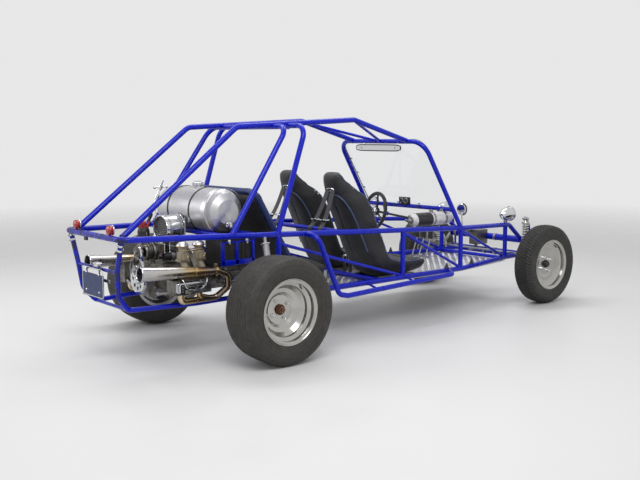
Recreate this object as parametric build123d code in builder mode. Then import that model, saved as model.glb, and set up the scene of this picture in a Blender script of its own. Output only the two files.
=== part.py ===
from build123d import *
import os
from math import cos, radians, sin, sqrt

os.makedirs("parts", exist_ok=True)

# Open tube-framed dune buggy, in millimetres: +X forward, +Y to its left, +Z up.
# The origin is on the ground under the middle of the overall length.

# Layout
wheelbase = 2880
rear_overhang = 870
rear_tyre_radius = 338
front_tyre_radius = 328
overall_length = rear_overhang + wheelbase + front_tyre_radius
rear_axle_x = rear_overhang - overall_length / 2
front_axle_x = rear_axle_x + wheelbase
running_gap = 0.3
seat_gap = 0.3

# Tubes of the frame
main_tube_r = 19
branch_tube_r = 18.2
brace_tube_r = 16
stay_tube_r = 11
main_bend = 90
tight_bend = 55

# Stations along the frame, measured forward from the rear axle
rear_bar_s = -rear_overhang + main_tube_r
flare_s = -153
rear_hoop_foot_s = -153
main_hoop_foot_s = 209
cabin_post_s = 1370
screen_foot_s = wheelbase - 864
nose_post_s = wheelbase - 135
nose_bend_s = wheelbase - 80
beam_s = wheelbase + 118

# Half widths of the frame
rear_bar_w = 383
cabin_w = 500
nose_w = 363
roof_w = 305

# Heights of the frame
rear_rail_z = 800
flare_z = 783
main_hoop_foot_z = 765
screen_foot_z = 678
nose_post_z = 643
lower_rail_z = 355
beam_upper_z = 492
beam_lower_z = 362


def at(station, width, height):
    """A point from its station ahead of the rear axle, its offset to the left and its height."""
    return (rear_axle_x + station, width, height)


def rail_height(station):
    """Height of the upper rail's middle line at a station between its flare and the screen's foot."""
    share = (station - flare_s) / (screen_foot_s - flare_s)
    return flare_z + share * (screen_foot_z - flare_z)


def add_tube(points, radius, bends):
    """One round tube of straight runs joined by tangent bends, added to the open part."""
    with BuildLine() as route:
        FilletPolyline(*points, radius=bends)
    with BuildSketch(Plane(origin=route.line @ 0, z_dir=route.line % 0)) as section:
        Circle(radius)
    sweep(section.sketch, path=route.line)


def add_bar(start, end, radius, end_radius=None):
    """One straight round bar from start to end, added to the open part."""
    run = Vector(*end) - Vector(*start)
    with BuildSketch(Plane(origin=start, z_dir=run)) as section:
        Circle(radius)
    if end_radius is None:
        extrude(section.sketch, amount=run.length)
    else:
        with BuildSketch(Plane(origin=end, z_dir=run)) as far_section:
            Circle(end_radius)
        loft([section.sketch.face(), far_section.sketch.face()])


def add_turned(profile, origin, axis):
    """A solid turned about the axis through origin, from (distance along the axis, radius) points."""
    ends = list(profile)
    if profile[0][1] > 0:
        ends = [(profile[0][0], 0)] + ends
    if profile[-1][1] > 0:
        ends = ends + [(profile[-1][0], 0)]
    across = Vector(*axis).cross(Vector(0, 0, 1))
    if across.length < 0.5:
        across = Vector(1, 0, 0)
    with BuildSketch(Plane(origin=origin, x_dir=axis, z_dir=across)) as section:
        with BuildLine():
            Polyline(*ends, close=True)
        make_face()
    revolve(section.sketch, axis=Axis(origin, axis))


def add_block(low, high, mode=Mode.ADD):
    """An upright block between two opposite corners, added to the open part or cut from it."""
    size = [b - a for a, b in zip(low, high)]
    with BuildSketch(Plane.XY.offset(low[2])) as section:
        with Locations((low[0] + size[0] / 2, low[1] + size[1] / 2)):
            Rectangle(size[0], size[1])
    extrude(section.sketch, amount=size[2], mode=mode)


def cross_plane(station):
    """The plane across the car at a station, with x to the left and y upwards, facing forward."""
    return Plane(origin=at(station, 0, 0), x_dir=(0, 1, 0), z_dir=(1, 0, 0))


def finish(builder, name):
    """Label the piece and write it as its own file."""
    builder.part.label = name
    export_step(builder.part, f"parts/{name}.step")


# Upper rail: one tube round the whole frame, open at the nose
def upper_rail_side(side):
    """Points of one side's upper rail, from the front beam back to the rear corner."""
    return [
        at(beam_s, side * (nose_w - 20), beam_upper_z),
        at(nose_bend_s, side * (nose_w - 6), nose_post_z - 2),
        at(screen_foot_s, side * cabin_w, screen_foot_z),
        at(flare_s, side * cabin_w, flare_z),
        at(rear_bar_s, side * rear_bar_w, rear_rail_z),
    ]


with BuildPart() as upper_rail:
    add_tube(
        upper_rail_side(-1) + upper_rail_side(1)[::-1],
        main_tube_r,
        [70, 400, 400, tight_bend, tight_bend, 400, 400, 70],
    )

# Roof rails: each one tube from the rear corner over the roof to the top of the windshield
roof_stay_foot_s = -816
roof_rear_bend_s = 32
roof_rear_bend_z = 1468
roof_front_bend_s = 1056
roof_front_bend_z = 1520
screen_top_s = screen_foot_s - 416
screen_top_z = 1364
with BuildPart() as roof_rails:
    for side in (-1, 1):
        add_tube(
            [
                at(roof_stay_foot_s, side * 318, rear_rail_z + 6),
                at(roof_rear_bend_s, side * roof_w, roof_rear_bend_z),
                at(roof_front_bend_s, side * roof_w, roof_front_bend_z),
                at(screen_top_s, side * roof_w, screen_top_z),
            ],
            main_tube_r,
            [main_bend, main_bend],
        )
    add(upper_rail.part, mode=Mode.SUBTRACT)


def roof_height(station):
    """Height of the roof rails' middle line at a station between their two bends."""
    share = (station - roof_rear_bend_s) / (roof_front_bend_s - roof_rear_bend_s)
    return roof_rear_bend_z + share * (roof_front_bend_z - roof_rear_bend_z)


# Hoops: a tube up each side and across between the roof rails
# columns: name, foot station, foot height, top station, top half width
hoop_drop = 14
hoop_table = [
    ("rear_hoop", rear_hoop_foot_s, flare_z, 323, cabin_w - 34),
    ("main_hoop", main_hoop_foot_s, main_hoop_foot_z, 444, cabin_w + 12),
]
hoops = {}
for name, foot_s, foot_z, top_s, top_w in hoop_table:
    top_z = roof_height(top_s) - hoop_drop
    with BuildPart() as hoop:
        add_tube(
            [
                at(foot_s, -cabin_w, foot_z),
                at(top_s, -top_w, top_z),
                at(top_s, top_w, top_z),
                at(foot_s, cabin_w, foot_z),
            ],
            branch_tube_r,
            [main_bend, main_bend],
        )
        add(upper_rail.part, mode=Mode.SUBTRACT)
        add(roof_rails.part, mode=Mode.SUBTRACT)
    hoops[name] = hoop

# Windshield hoop, with the vee that braces it to the roof
screen_w = cabin_w - 20
with BuildPart() as windshield_hoop:
    add_tube(
        [
            at(screen_foot_s, -cabin_w, screen_foot_z),
            at(screen_top_s, -screen_w, screen_top_z - 4),
            at(screen_top_s, screen_w, screen_top_z - 4),
            at(screen_foot_s, cabin_w, screen_foot_z),
        ],
        branch_tube_r,
        [120, 120],
    )
    for side in (-1, 1):
        add_bar(
            at(roof_front_bend_s, side * roof_w, roof_front_bend_z - 6),
            at(screen_top_s, side * 12, screen_top_z - 4),
            stay_tube_r,
        )
    add(upper_rail.part, mode=Mode.SUBTRACT)
    add(roof_rails.part, mode=Mode.SUBTRACT)

# Lower frame: two side rails from the engine cage to the front beam, and cross tubes
lower_w = cabin_w
lower_rear_s = 330
with BuildPart() as lower_rails:
    for side in (-1, 1):
        add_tube(
            [
                at(lower_rear_s, side * 300, lower_rail_z),
                at(lower_rear_s + 250, side * lower_w, lower_rail_z),
                at(screen_foot_s, side * lower_w, lower_rail_z),
                at(nose_post_s, side * nose_w, lower_rail_z + 6),
                at(beam_s, side * (nose_w - 20), beam_lower_z),
            ],
            main_tube_r,
            [80, 300, 150],
        )
    for cross_s, cross_w in ((lower_rear_s + 10, 300), (1150, lower_w), (nose_post_s, nose_w)):
        add_bar(at(cross_s, -cross_w, lower_rail_z), at(cross_s, cross_w, lower_rail_z), brace_tube_r)

# Front beam: two transverse torsion tubes with end plates and shock towers
beam_w = 455
beam_tube_r = 29
kingpin_w = 540
shock_w = (beam_w + kingpin_w) / 2 - 7.5
plate_w = beam_w - 35
tower_foot_w = beam_w - 20
tower_s = wheelbase - 10
tower_z = 700
tower_r = 14
with BuildPart() as front_beam:
    for beam_z in (beam_upper_z, beam_lower_z):
        add_bar(at(beam_s, -beam_w, beam_z), at(beam_s, beam_w, beam_z), beam_tube_r)
    for side in (-1, 1):
        add_block(
            at(beam_s - 8, side * plate_w - 6, beam_lower_z),
            at(beam_s + 8, side * plate_w + 6, beam_upper_z),
        )
        add_tube(
            [
                at(beam_s, side * tower_foot_w, beam_upper_z),
                at(beam_s - 30, side * tower_foot_w, tower_z - 60),
                at(tower_s, side * (shock_w - 20), tower_z),
            ],
            tower_r,
            [50],
        )
    add(upper_rail.part, mode=Mode.SUBTRACT)
    add(lower_rails.part, mode=Mode.SUBTRACT)

# Uprights and slanting braces of the side frames
# columns: station, half width, top height, bottom height, tube radius
upright_table = [
    (main_hoop_foot_s + 8, cabin_w, main_hoop_foot_z, 610, branch_tube_r),
    (cabin_post_s, cabin_w, rail_height(cabin_post_s), lower_rail_z, branch_tube_r),
    (screen_foot_s, cabin_w, screen_foot_z, lower_rail_z, branch_tube_r),
    (nose_post_s, nose_w, nose_post_z, lower_rail_z, branch_tube_r),
]
# columns: start station, start half width, start height, end station, end half width, end height
brace_table = [
    (main_hoop_foot_s + 25, cabin_w, 700, cabin_post_s, cabin_w, lower_rail_z + 12),
    (cabin_post_s, cabin_w, 690, screen_foot_s, cabin_w, lower_rail_z + 8),
    (screen_foot_s, cabin_w, 662, nose_post_s, nose_w, lower_rail_z + 8),
]
with BuildPart() as side_uprights:
    for side in (-1, 1):
        for post_s, post_w, top_z, bottom_z, radius in upright_table:
            add_bar(at(post_s, side * post_w, bottom_z), at(post_s, side * post_w, top_z), radius)
        for s0, w0, z0, s1, w1, z1 in brace_table:
            add_bar(at(s0, side * w0, z0), at(s1, side * w1, z1), stay_tube_r)
        add_bar(
            at(main_hoop_foot_s + 8, side * cabin_w, 610),
            at(lower_rear_s + 120, side * 395, lower_rail_z),
            brace_tube_r,
        )
    for piece in (upper_rail, lower_rails, windshield_hoop, hoops["main_hoop"]):
        add(piece.part, mode=Mode.SUBTRACT)

# Cross tubes: harness bar behind the seats, dash bar at the windshield's foot, two under the tank
harness_s = 735
dash_z = 829
dash_bar_r = branch_tube_r - 1
dash_share = (dash_z - screen_foot_z) / (screen_top_z - screen_foot_z)
dash_s = screen_foot_s + (screen_top_s - screen_foot_s) * dash_share
tank_s = -85
tank_saddle = 90
tank_rail_z = rail_height(tank_s)
with BuildPart() as cross_bars:
    add_bar(
        at(harness_s, -cabin_w, rail_height(harness_s) + 6),
        at(harness_s, cabin_w, rail_height(harness_s) + 6),
        brace_tube_r,
    )
    dash_w = cabin_w - 8
    add_bar(at(dash_s, -dash_w, dash_z), at(dash_s, dash_w, dash_z), dash_bar_r)
    for offset in (-tank_saddle, tank_saddle):
        add_bar(
            at(tank_s + offset, -cabin_w, tank_rail_z),
            at(tank_s + offset, cabin_w, tank_rail_z),
            brace_tube_r,
        )
    for piece in (upper_rail, windshield_hoop, hoops["rear_hoop"]):
        add(piece.part, mode=Mode.SUBTRACT)

# Side bars outside the lower rails, one each side
side_bar_w = cabin_w + 120
with BuildPart() as side_bars:
    for side in (-1, 1):
        add_tube(
            [
                at(440, side * cabin_w, rail_height(440)),
                at(452, side * side_bar_w, rail_height(452) - 10),
                at(640, side * side_bar_w, 330),
                at(720, side * side_bar_w, 312),
                at(screen_foot_s - 226, side * side_bar_w, 348),
                at(screen_foot_s - 136, side * cabin_w, lower_rail_z),
            ],
            branch_tube_r,
            [70, 60, 40, 60],
        )
        for tab_s in (1000, 1400):
            add_bar(at(tab_s, side * cabin_w, lower_rail_z), at(tab_s, side * side_bar_w, 326), 8)
    for piece in (upper_rail, lower_rails, side_uprights):
        add(piece.part, mode=Mode.SUBTRACT)

# Rear cage under the engine, hung from the rear bar and braced across
with BuildPart() as rear_cage:
    for side in (-1, 1):
        add_tube(
            [
                at(-838, side * 360, rear_rail_z),
                at(-830, side * 275, 594),
                at(-815, side * 250, 437),
                at(-740, side * 225, 342),
                at(-300, side * 300, 342),
                at(lower_rear_s + 20, side * 318, lower_rail_z),
            ],
            brace_tube_r,
            [60, 60, 45, 120],
        )
    add_bar(at(-829, -272, 590), at(-829, 272, 590), stay_tube_r)
    add_bar(at(-735, -228, 342), at(-735, 228, 342), stay_tube_r)
    for piece in (upper_rail, lower_rails):
        add(piece.part, mode=Mode.SUBTRACT)

# Floor pan, hung under the lower frame
pan_thick = 3
pan_top_z = lower_rail_z - main_tube_r - seat_gap
pan_rear_s = 600
with BuildPart() as floor_pan:
    with BuildSketch(Plane.XY.offset(pan_top_z - pan_thick)) as pan_plan:
        with BuildLine():
            Polyline(
                at(pan_rear_s, -lower_w, 0)[:2],
                at(screen_foot_s, -lower_w, 0)[:2],
                at(nose_post_s, -nose_w, 0)[:2],
                at(nose_post_s, nose_w, 0)[:2],
                at(screen_foot_s, lower_w, 0)[:2],
                at(pan_rear_s, lower_w, 0)[:2],
                close=True,
            )
        make_face()
    extrude(amount=pan_thick)

# Windshield: a clear sheet in front of the hoop, seated on the dash bar
sheet_thick = 4
sheet_low = Vector(*at(dash_s, 0, dash_z))
sheet_high = Vector(*at(screen_top_s, 0, screen_top_z))
sheet_run = sheet_high - sheet_low
sheet_plane = Plane(
    origin=(sheet_low + sheet_high) * 0.5,
    x_dir=(0, 1, 0),
    z_dir=Vector(0, 1, 0).cross(sheet_run),
)
with BuildPart() as windshield:
    with BuildSketch(sheet_plane.offset(dash_bar_r + seat_gap)) as sheet:
        Rectangle(2 * screen_w - 10, sheet_run.length)
        fillet(sheet.vertices().group_by(Axis.Z)[-1], 110)
    extrude(amount=sheet_thick)
    for piece in (windshield_hoop, roof_rails):
        add(piece.part, mode=Mode.SUBTRACT)


def add_ring(profile, origin, axis):
    """A ring turned about the axis through origin, from a closed run of (along, radius) points."""
    with BuildSketch(Plane(origin=origin, x_dir=axis, z_dir=Vector(*axis).cross(Vector(0, 0, 1)))) as section:
        with BuildLine():
            Polyline(*profile, close=True)
        make_face()
    revolve(section.sketch, axis=Axis(origin, axis))


def wheel_plane(origin, side):
    """The plane through a wheel's axle, with x outwards along the axle and y upwards."""
    return Plane(origin=origin, x_dir=(0, side, 0), z_dir=(side, 0, 0))


# Wheels
rim_flange_r = 208
rim_seat_r = 191
tyre_wall = 12
rim_wall = 6
tyre_fit = 0.3
# columns: end, tyre radius, tyre width, outer flange offset, rim width, dish depth, drum radius, drum width
wheel_table = {
    "rear": (rear_axle_x, rear_tyre_radius, 268, 912, 225, 118, 128, 55),
    "front": (front_axle_x, front_tyre_radius, 165, 747, 145, 62, 122, 45),
}
hub_hole_r = 34
wheel_nodes = []
hub_face = {}
for end, (axle_x, tyre_r, tyre_w, flange_y, rim_w, dish, drum_r, drum_w) in wheel_table.items():
    half_rim = rim_w / 2
    face = half_rim - dish
    hub_face[end] = flange_y - dish
    tread_half = tyre_w / 2 - 22
    middle_y = flange_y - half_rim
    well_r = rim_seat_r - 22
    cone = min(46, half_rim - 50 - face)
    rim_profile = [
        (half_rim, rim_flange_r),
        (half_rim - 5, rim_flange_r),
        (half_rim - 9, rim_seat_r + 1),
        (half_rim - 38, rim_seat_r),
        (half_rim - 52, well_r),
        (-half_rim + 44, well_r),
        (-half_rim + 34, rim_seat_r),
        (-half_rim + 9, rim_seat_r + 1),
        (-half_rim + 5, rim_flange_r),
        (-half_rim, rim_flange_r),
        (-half_rim, rim_flange_r - 8),
        (-half_rim + 4, rim_seat_r - rim_wall),
        (-half_rim + 30, rim_seat_r - rim_wall),
        (-half_rim + 40, well_r - rim_wall),
        (face - 9, well_r - rim_wall),
        (face - 9, hub_hole_r),
        (face, hub_hole_r),
        (face, 92),
        (face + 0.3 * cone, 112),
        (face + 0.48 * cone, 138),
        (face + cone, well_r - rim_wall),
        (half_rim - 49, well_r - rim_wall),
        (half_rim - 36, rim_seat_r - rim_wall),
        (half_rim - 8, rim_seat_r - rim_wall),
        (half_rim - 3, rim_flange_r - 8),
        (half_rim, rim_flange_r - 5),
    ]
    bead_out = half_rim - 9 - tyre_fit
    bead_in = half_rim - 24
    wall_end = half_rim - 5 - tyre_fit
    inner_r = tyre_r - tyre_wall
    inner_half = tread_half - 6
    wall_r = (rim_flange_r + tyre_r) / 2
    bead_r = rim_seat_r + 1 + tyre_fit
    for side, side_name in ((-1, "right"), (1, "left")):
        centre = (axle_x, side * middle_y, tyre_r)
        axis = (0, side, 0)
        with BuildPart() as rim:
            add_ring(rim_profile, centre, axis)
        with BuildPart() as tyre:
            with BuildSketch(wheel_plane(centre, side)) as section:
                with BuildLine():
                    Line((wall_end, rim_flange_r), (bead_out, bead_r))
                    Line((bead_out, bead_r), (bead_in, bead_r))
                    ThreePointArc(
                        (bead_in, bead_r), (tyre_w / 2 - tyre_wall, wall_r), (inner_half, inner_r - 5)
                    )
                    Line((inner_half, inner_r - 5), (-inner_half, inner_r - 5))
                    ThreePointArc(
                        (-inner_half, inner_r - 5), (tyre_wall - tyre_w / 2, wall_r), (-bead_in, bead_r)
                    )
                    Line((-bead_in, bead_r), (-bead_out, bead_r))
                    Line((-bead_out, bead_r), (-wall_end, rim_flange_r))
                    ThreePointArc(
                        (-wall_end, rim_flange_r), (-tyre_w / 2, wall_r), (-tread_half, tyre_r - 8)
                    )
                    ThreePointArc((-tread_half, tyre_r - 8), (0, tyre_r), (tread_half, tyre_r - 8))
                    ThreePointArc(
                        (tread_half, tyre_r - 8), (tyre_w / 2, wall_r), (wall_end, rim_flange_r)
                    )
                make_face()
            revolve(section.sketch, axis=Axis(centre, axis))
        with BuildPart() as drum:
            face_y = middle_y + face
            add_turned(
                [
                    (-9 - drum_w, drum_r - 8),
                    (-9 - drum_w + 6, drum_r),
                    (-9 - 6, drum_r),
                    (-9, drum_r - 10),
                    (-9, hub_hole_r - 4),
                    (6, hub_hole_r - 4),
                    (6, 24),
                    (26, 20),
                ],
                (axle_x, side * face_y, tyre_r),
                axis,
            )
        wheel_nodes.append([rim, f"rim_{end}_{side_name}"])
        wheel_nodes.append([tyre, f"tyre_{end}_{side_name}"])
        wheel_nodes.append([drum, f"drum_{end}_{side_name}"])
rear_drum_back = hub_face["rear"] - 9 - wheel_table["rear"][-1]
front_drum_back = hub_face["front"] - 9 - wheel_table["front"][-1]

# Front suspension: trailing arms on the beam, kingpin carriers, coil springs over dampers
kingpin_r = 12
pin_clearance = 0.05
carrier_high_z = 395
carrier_low_z = 265
eye_half = 11
shock_body_r = 21
shock_rod_r = 11
spring_seat_r = 36
coil_turns = 10
coil_wire_r = 5.5
with BuildPart() as front_arms:
    for side in (-1, 1):
        for beam_z, end_z in ((beam_upper_z, carrier_high_z), (beam_lower_z, carrier_low_z)):
            hub_start = at(beam_s, side * (beam_w + seat_gap), beam_z)
            add_bar(hub_start, at(beam_s, side * (beam_w + 34), beam_z), 27)
            blade_start = at(beam_s, side * (beam_w + 18), beam_z)
            add_bar(blade_start, at(wheelbase + 6, side * (beam_w + 24), end_z), 14)
            link_start = at(wheelbase, side * (beam_w + 10), end_z)
            add_bar(link_start, at(wheelbase, side * (kingpin_w - 16), end_z), eye_half - 1)
            with BuildSketch(Plane.XY.offset(end_z - eye_half)) as eye:
                with Locations(at(wheelbase, side * kingpin_w, 0)[:2]):
                    Circle(22)
            extrude(eye.sketch, amount=2 * eye_half)
        shock_pin = at(wheelbase, side * shock_w, carrier_low_z)
        add_bar(shock_pin, at(wheelbase - 44, side * shock_w, carrier_low_z), 9)
        with BuildSketch(Plane.XY.offset(200)) as bore:
            with Locations(at(wheelbase, side * kingpin_w, 0)[:2]):
                Circle(kingpin_r + pin_clearance)
        extrude(bore.sketch, amount=300, mode=Mode.SUBTRACT)
with BuildPart() as coil_overs:
    for side in (-1, 1):
        top = at(tower_s - 4, side * (shock_w - 6), tower_z - 6)
        foot = at(wheelbase - 34, side * shock_w, carrier_low_z)
        shock_run = Vector(*top) - Vector(*foot)
        low = shock_run.length * 0.36
        high = shock_run.length * 0.92
        pitch = (high - low) / coil_turns
        shock_profile = [(0, shock_rod_r), (low - 8, shock_rod_r)]
        shock_profile += [(low - 8, spring_seat_r), (low, spring_seat_r)]
        for turn in range(coil_turns):
            middle = low + pitch * (turn + 0.5)
            shock_profile += [
                (middle - coil_wire_r - 1, shock_body_r),
                (middle - coil_wire_r * 0.7, shock_body_r + coil_wire_r),
                (middle, shock_body_r + 1.6 * coil_wire_r),
                (middle + coil_wire_r * 0.7, shock_body_r + coil_wire_r),
                (middle + coil_wire_r + 1, shock_body_r),
            ]
        shock_profile += [(high, spring_seat_r), (high + 8, spring_seat_r), (high + 8, shock_rod_r)]
        add_turned(shock_profile + [(shock_run.length, shock_rod_r)], foot, tuple(shock_run.normalized()))
    for piece in (front_beam, front_arms):
        add(piece.part, mode=Mode.SUBTRACT)

# Knuckles: kingpin, spindle and steering arm
steering_arm = 80
boss_high_z = 384
knuckle_z = front_tyre_radius
knuckles = {}
for side, side_name in ((-1, "right"), (1, "left")):
    with BuildPart() as knuckle:
        pin_x, pin_y, _ = at(wheelbase, side * kingpin_w, 0)
        with BuildSketch(Plane.XY.offset(carrier_low_z - eye_half - 6)) as pin:
            with Locations((pin_x, pin_y)):
                Circle(kingpin_r)
        extrude(pin.sketch, amount=carrier_high_z - carrier_low_z + 2 * eye_half + 12)
        with BuildSketch(Plane.XY.offset(carrier_low_z + eye_half + seat_gap)) as barrel:
            with Locations((pin_x, pin_y)):
                Circle(24)
        extrude(barrel.sketch, amount=carrier_high_z - carrier_low_z - 2 * eye_half - 2 * seat_gap)
        add_bar((pin_x, pin_y, knuckle_z), (pin_x, side * (front_drum_back - seat_gap), knuckle_z), 26)
        add_bar((pin_x, pin_y, 360), (pin_x - steering_arm, pin_y - side * 2, 372), 10)
        with BuildSketch(Plane.XY.offset(boss_high_z - 24)) as boss:
            with Locations((pin_x - steering_arm, pin_y)):
                Circle(15)
        extrude(boss.sketch, amount=24)
    knuckles[side_name] = knuckle

# Steering: box behind the beam, column with its wheel, pitman arm and the rod between the knuckles
box_y = 70
box_low_z = 425
box_high_z = 555
tie_rod_z = 400
tie_rod_r = 9
pitman_thick = 10
pitman_high_z = tie_rod_z - tie_rod_r - 3
column_foot = at(wheelbase + 10, box_y + 20, box_high_z - 20)
column_head = at(dash_s - 94, cabin_w - 238, 770)
column_r = 9.5
wheel_rim_r = 150
column_run = (Vector(*column_head) - Vector(*column_foot)).normalized()
with BuildPart() as steering_box:
    add_block(at(wheelbase - 40, box_y - 45, box_low_z), at(beam_s - 12, box_y + 45, box_high_z))
    add_bar(at(wheelbase, box_y, box_low_z), at(wheelbase, box_y, pitman_high_z + seat_gap), 14)
    with BuildSketch(Plane(origin=column_foot, z_dir=column_run)) as bore:
        Circle(column_r + pin_clearance)
    extrude(bore.sketch, amount=200, mode=Mode.SUBTRACT)
    add(front_beam.part, mode=Mode.SUBTRACT)
with BuildPart() as pitman_arm:
    with BuildSketch(Plane.XY.offset(pitman_high_z - pitman_thick)) as arm:
        with Locations(at(wheelbase, box_y, 0)[:2]):
            Circle(22)
        with Locations(at(wheelbase - steering_arm, box_y, 0)[:2]):
            Circle(14)
        with Locations(at(wheelbase - steering_arm / 2, box_y, 0)[:2]):
            Rectangle(steering_arm, 22)
    extrude(arm.sketch, amount=pitman_thick)
with BuildPart() as steering_wheel:
    column_start = Vector(*column_foot) + column_run * 6
    add_bar(tuple(column_start), column_head, column_r)
    with BuildSketch(Plane(origin=column_head, z_dir=column_run)) as boss:
        Circle(34)
    extrude(boss.sketch, amount=12)
    rim_centre = Vector(*column_head) + column_run * 26
    rim_across = column_run.cross(Vector(0, 0, 1)).normalized()
    rim_upward = rim_across.cross(column_run)
    with BuildSketch(Plane(origin=rim_centre, x_dir=rim_across, z_dir=rim_upward)) as rim_section:
        with Locations((wheel_rim_r, 0)):
            Circle(13)
    revolve(rim_section.sketch, axis=Axis(tuple(rim_centre), tuple(column_run)))
    for turn in (90, 210, 330):
        spoke_run = rim_across * cos(radians(turn)) + rim_upward * sin(radians(turn))
        root = Vector(*column_head) + column_run * 6 + spoke_run * 20
        tip = rim_centre + spoke_run * (wheel_rim_r - 4)
        add_bar(tuple(root), tuple(tip), 8)
with BuildPart() as tie_rods:
    rod_s = wheelbase - steering_arm
    add_bar(at(rod_s, -kingpin_w, tie_rod_z), at(rod_s, kingpin_w, tie_rod_z), tie_rod_r)
    for side in (-1, 1):
        with BuildSketch(Plane.XY.offset(boss_high_z + seat_gap)) as eye:
            with Locations(at(rod_s, side * kingpin_w, 0)[:2]):
                Circle(16)
        extrude(eye.sketch, amount=30)

# Rear suspension: torsion tube, trailing arms with their bearing housings, and dampers
torsion_s = lower_rear_s + 60
torsion_z = 400
torsion_w = cabin_w - 30
axle_out_w = 600
stub_r = 21
arm_end_w = 652
with BuildPart() as torsion_tube:
    add_bar(at(torsion_s, -torsion_w, torsion_z), at(torsion_s, torsion_w, torsion_z), 36)
    for piece in (lower_rails, rear_cage, side_uprights, upper_rail, side_bars, floor_pan):
        add(piece.part, mode=Mode.SUBTRACT)
with BuildPart() as trailing_arms:
    for side in (-1, 1):
        arm_boss = at(torsion_s, side * (torsion_w + seat_gap), torsion_z)
        add_bar(arm_boss, at(torsion_s, side * (torsion_w + 60), torsion_z), 40)
        arm_start = at(torsion_s, side * (torsion_w + 36), torsion_z)
        add_bar(arm_start, at(24, side * arm_end_w, rear_tyre_radius), 20)
        housing_start = at(0, side * axle_out_w, rear_tyre_radius)
        add_bar(housing_start, at(0, side * (rear_drum_back - 5), rear_tyre_radius), 52)
    for side in (-1, 1):
        with BuildSketch(Plane(origin=at(0, side * 500, rear_tyre_radius), z_dir=(0, side, 0))) as bore:
            Circle(stub_r + pin_clearance)
        extrude(bore.sketch, amount=300, mode=Mode.SUBTRACT)

# Drive: transaxle, half shafts with ball ends, stub axles in the drums
crank_z = 484
output_z = 470
output_w = 150
ball_r = 24
with BuildPart() as transaxle:
    add_turned(
        [(-150, 150), (-120, 165), (-60, 110), (40, 95), (200, 80), (330, 60), (345, 40)],
        at(-60, 0, crank_z),
        (1, 0, 0),
    )
    rib_span = 190
    add_block(at(-110, -4, crank_z - 122), at(rib_span, 4, crank_z + 122))
    add_block(at(-110, -122, crank_z - 4), at(rib_span, 122, crank_z + 4))
    for side in (-1, 1):
        add_bar(at(0, 0, output_z), at(0, side * output_w, output_z), 62)
    for side in (-1, 1):
        with BuildSketch(Plane(origin=at(0, side * output_w, output_z), z_dir=(0, side, 0))) as rim_face:
            Circle(50)
        extrude(rim_face.sketch, amount=ball_r)
    for side in (-1, 1):
        with Locations(at(0, side * (output_w + ball_r), output_z)):
            Sphere(ball_r + running_gap, mode=Mode.SUBTRACT)
half_shafts = {}
for side, side_name in ((-1, "right"), (1, "left")):
    inner = at(0, side * (output_w + ball_r), output_z)
    outer = at(0, side * (axle_out_w - 30), rear_tyre_radius)
    with BuildPart() as half_shaft:
        add_bar(inner, outer, 14)
        for ball in (inner, outer):
            with Locations(ball):
                Sphere(ball_r)
        run = Vector(*outer) - Vector(*inner)
        unit = run.normalized()
        add_bar(tuple(Vector(*inner) + unit * 30), tuple(Vector(*inner) + unit * 95), 40, 22)
        add_bar(tuple(Vector(*outer) - unit * 95), tuple(Vector(*outer) - unit * 30), 22, 40)
    half_shafts[side_name] = half_shaft
for entry in wheel_nodes:
    builder, name = entry
    if not name.startswith("drum_"):
        continue
    _, end, side_name = name.split("_")
    side = -1 if side_name == "right" else 1
    if end == "rear":
        with BuildPart() as axle:
            add(builder.part)
            add_bar(
                at(0, side * (rear_drum_back + 4), rear_tyre_radius),
                at(0, side * (axle_out_w - 6), rear_tyre_radius),
                stub_r,
            )
            add_bar(
                at(0, side * (axle_out_w - 6), rear_tyre_radius),
                at(0, side * (axle_out_w - 30), rear_tyre_radius),
                46,
            )
            with Locations(at(0, side * (axle_out_w - 30), rear_tyre_radius)):
                Sphere(ball_r + running_gap, mode=Mode.SUBTRACT)
        entry[0] = axle
with BuildPart() as rear_dampers:
    for side in (-1, 1):
        low = Vector(*at(70, side * 630, 352))
        high = Vector(*at(100, side * cabin_w, rail_height(100)))
        run = high - low
        add_bar(tuple(low), tuple(high), 12)
        add_bar(tuple(low + run * 0.3), tuple(low + run * 0.88), 24)
    for piece in (trailing_arms, upper_rail):
        add(piece.part, mode=Mode.SUBTRACT)

# Engine: air-cooled flat four behind the transaxle, open all round
case_rear_s = -500
case_front_s = -205
case_low_z = 372
case_high_z = 590
cylinder_w = 118
head_w = 285
cover_w = 368
head_length = 275
cylinder_stations = (-430, -300)
barrel_r = 47
fin_r = 59
fin_count = 10
fin_thick = 5
sump_s = -310
with BuildPart() as engine_case:
    with BuildSketch(cross_plane(case_rear_s)) as case_section:
        with BuildLine():
            Polyline(
                (-62, case_low_z),
                (-cylinder_w, 432),
                (-cylinder_w, 538),
                (-72, case_high_z),
                (72, case_high_z),
                (cylinder_w, 538),
                (cylinder_w, 432),
                (62, case_low_z),
                close=True,
            )
        make_face()
        fillet(case_section.vertices(), 12)
    extrude(amount=case_front_s - case_rear_s)
    for rib_s in (-478, -372, -248):
        with BuildSketch(cross_plane(rib_s)) as rib:
            with BuildLine():
                Polyline(
                    (-54, case_low_z - 7),
                    (-96, 414),
                    (-90, 562),
                    (-60, case_high_z + 6),
                    (60, case_high_z + 6),
                    (90, 562),
                    (96, 414),
                    (54, case_low_z - 7),
                    close=True,
                )
            make_face()
        extrude(amount=9)
    add_bar(at(sump_s, 0, case_low_z + 1), at(sump_s, 0, case_low_z - 8), 52)
    with BuildSketch(Plane.XY.offset(case_low_z - 12)) as sump_nuts:
        with Locations(at(sump_s, 0, 0)[:2]):
            with PolarLocations(42, 6):
                RegularPolygon(6, 6)
    extrude(amount=6)
    add(transaxle.part, mode=Mode.SUBTRACT)

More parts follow.
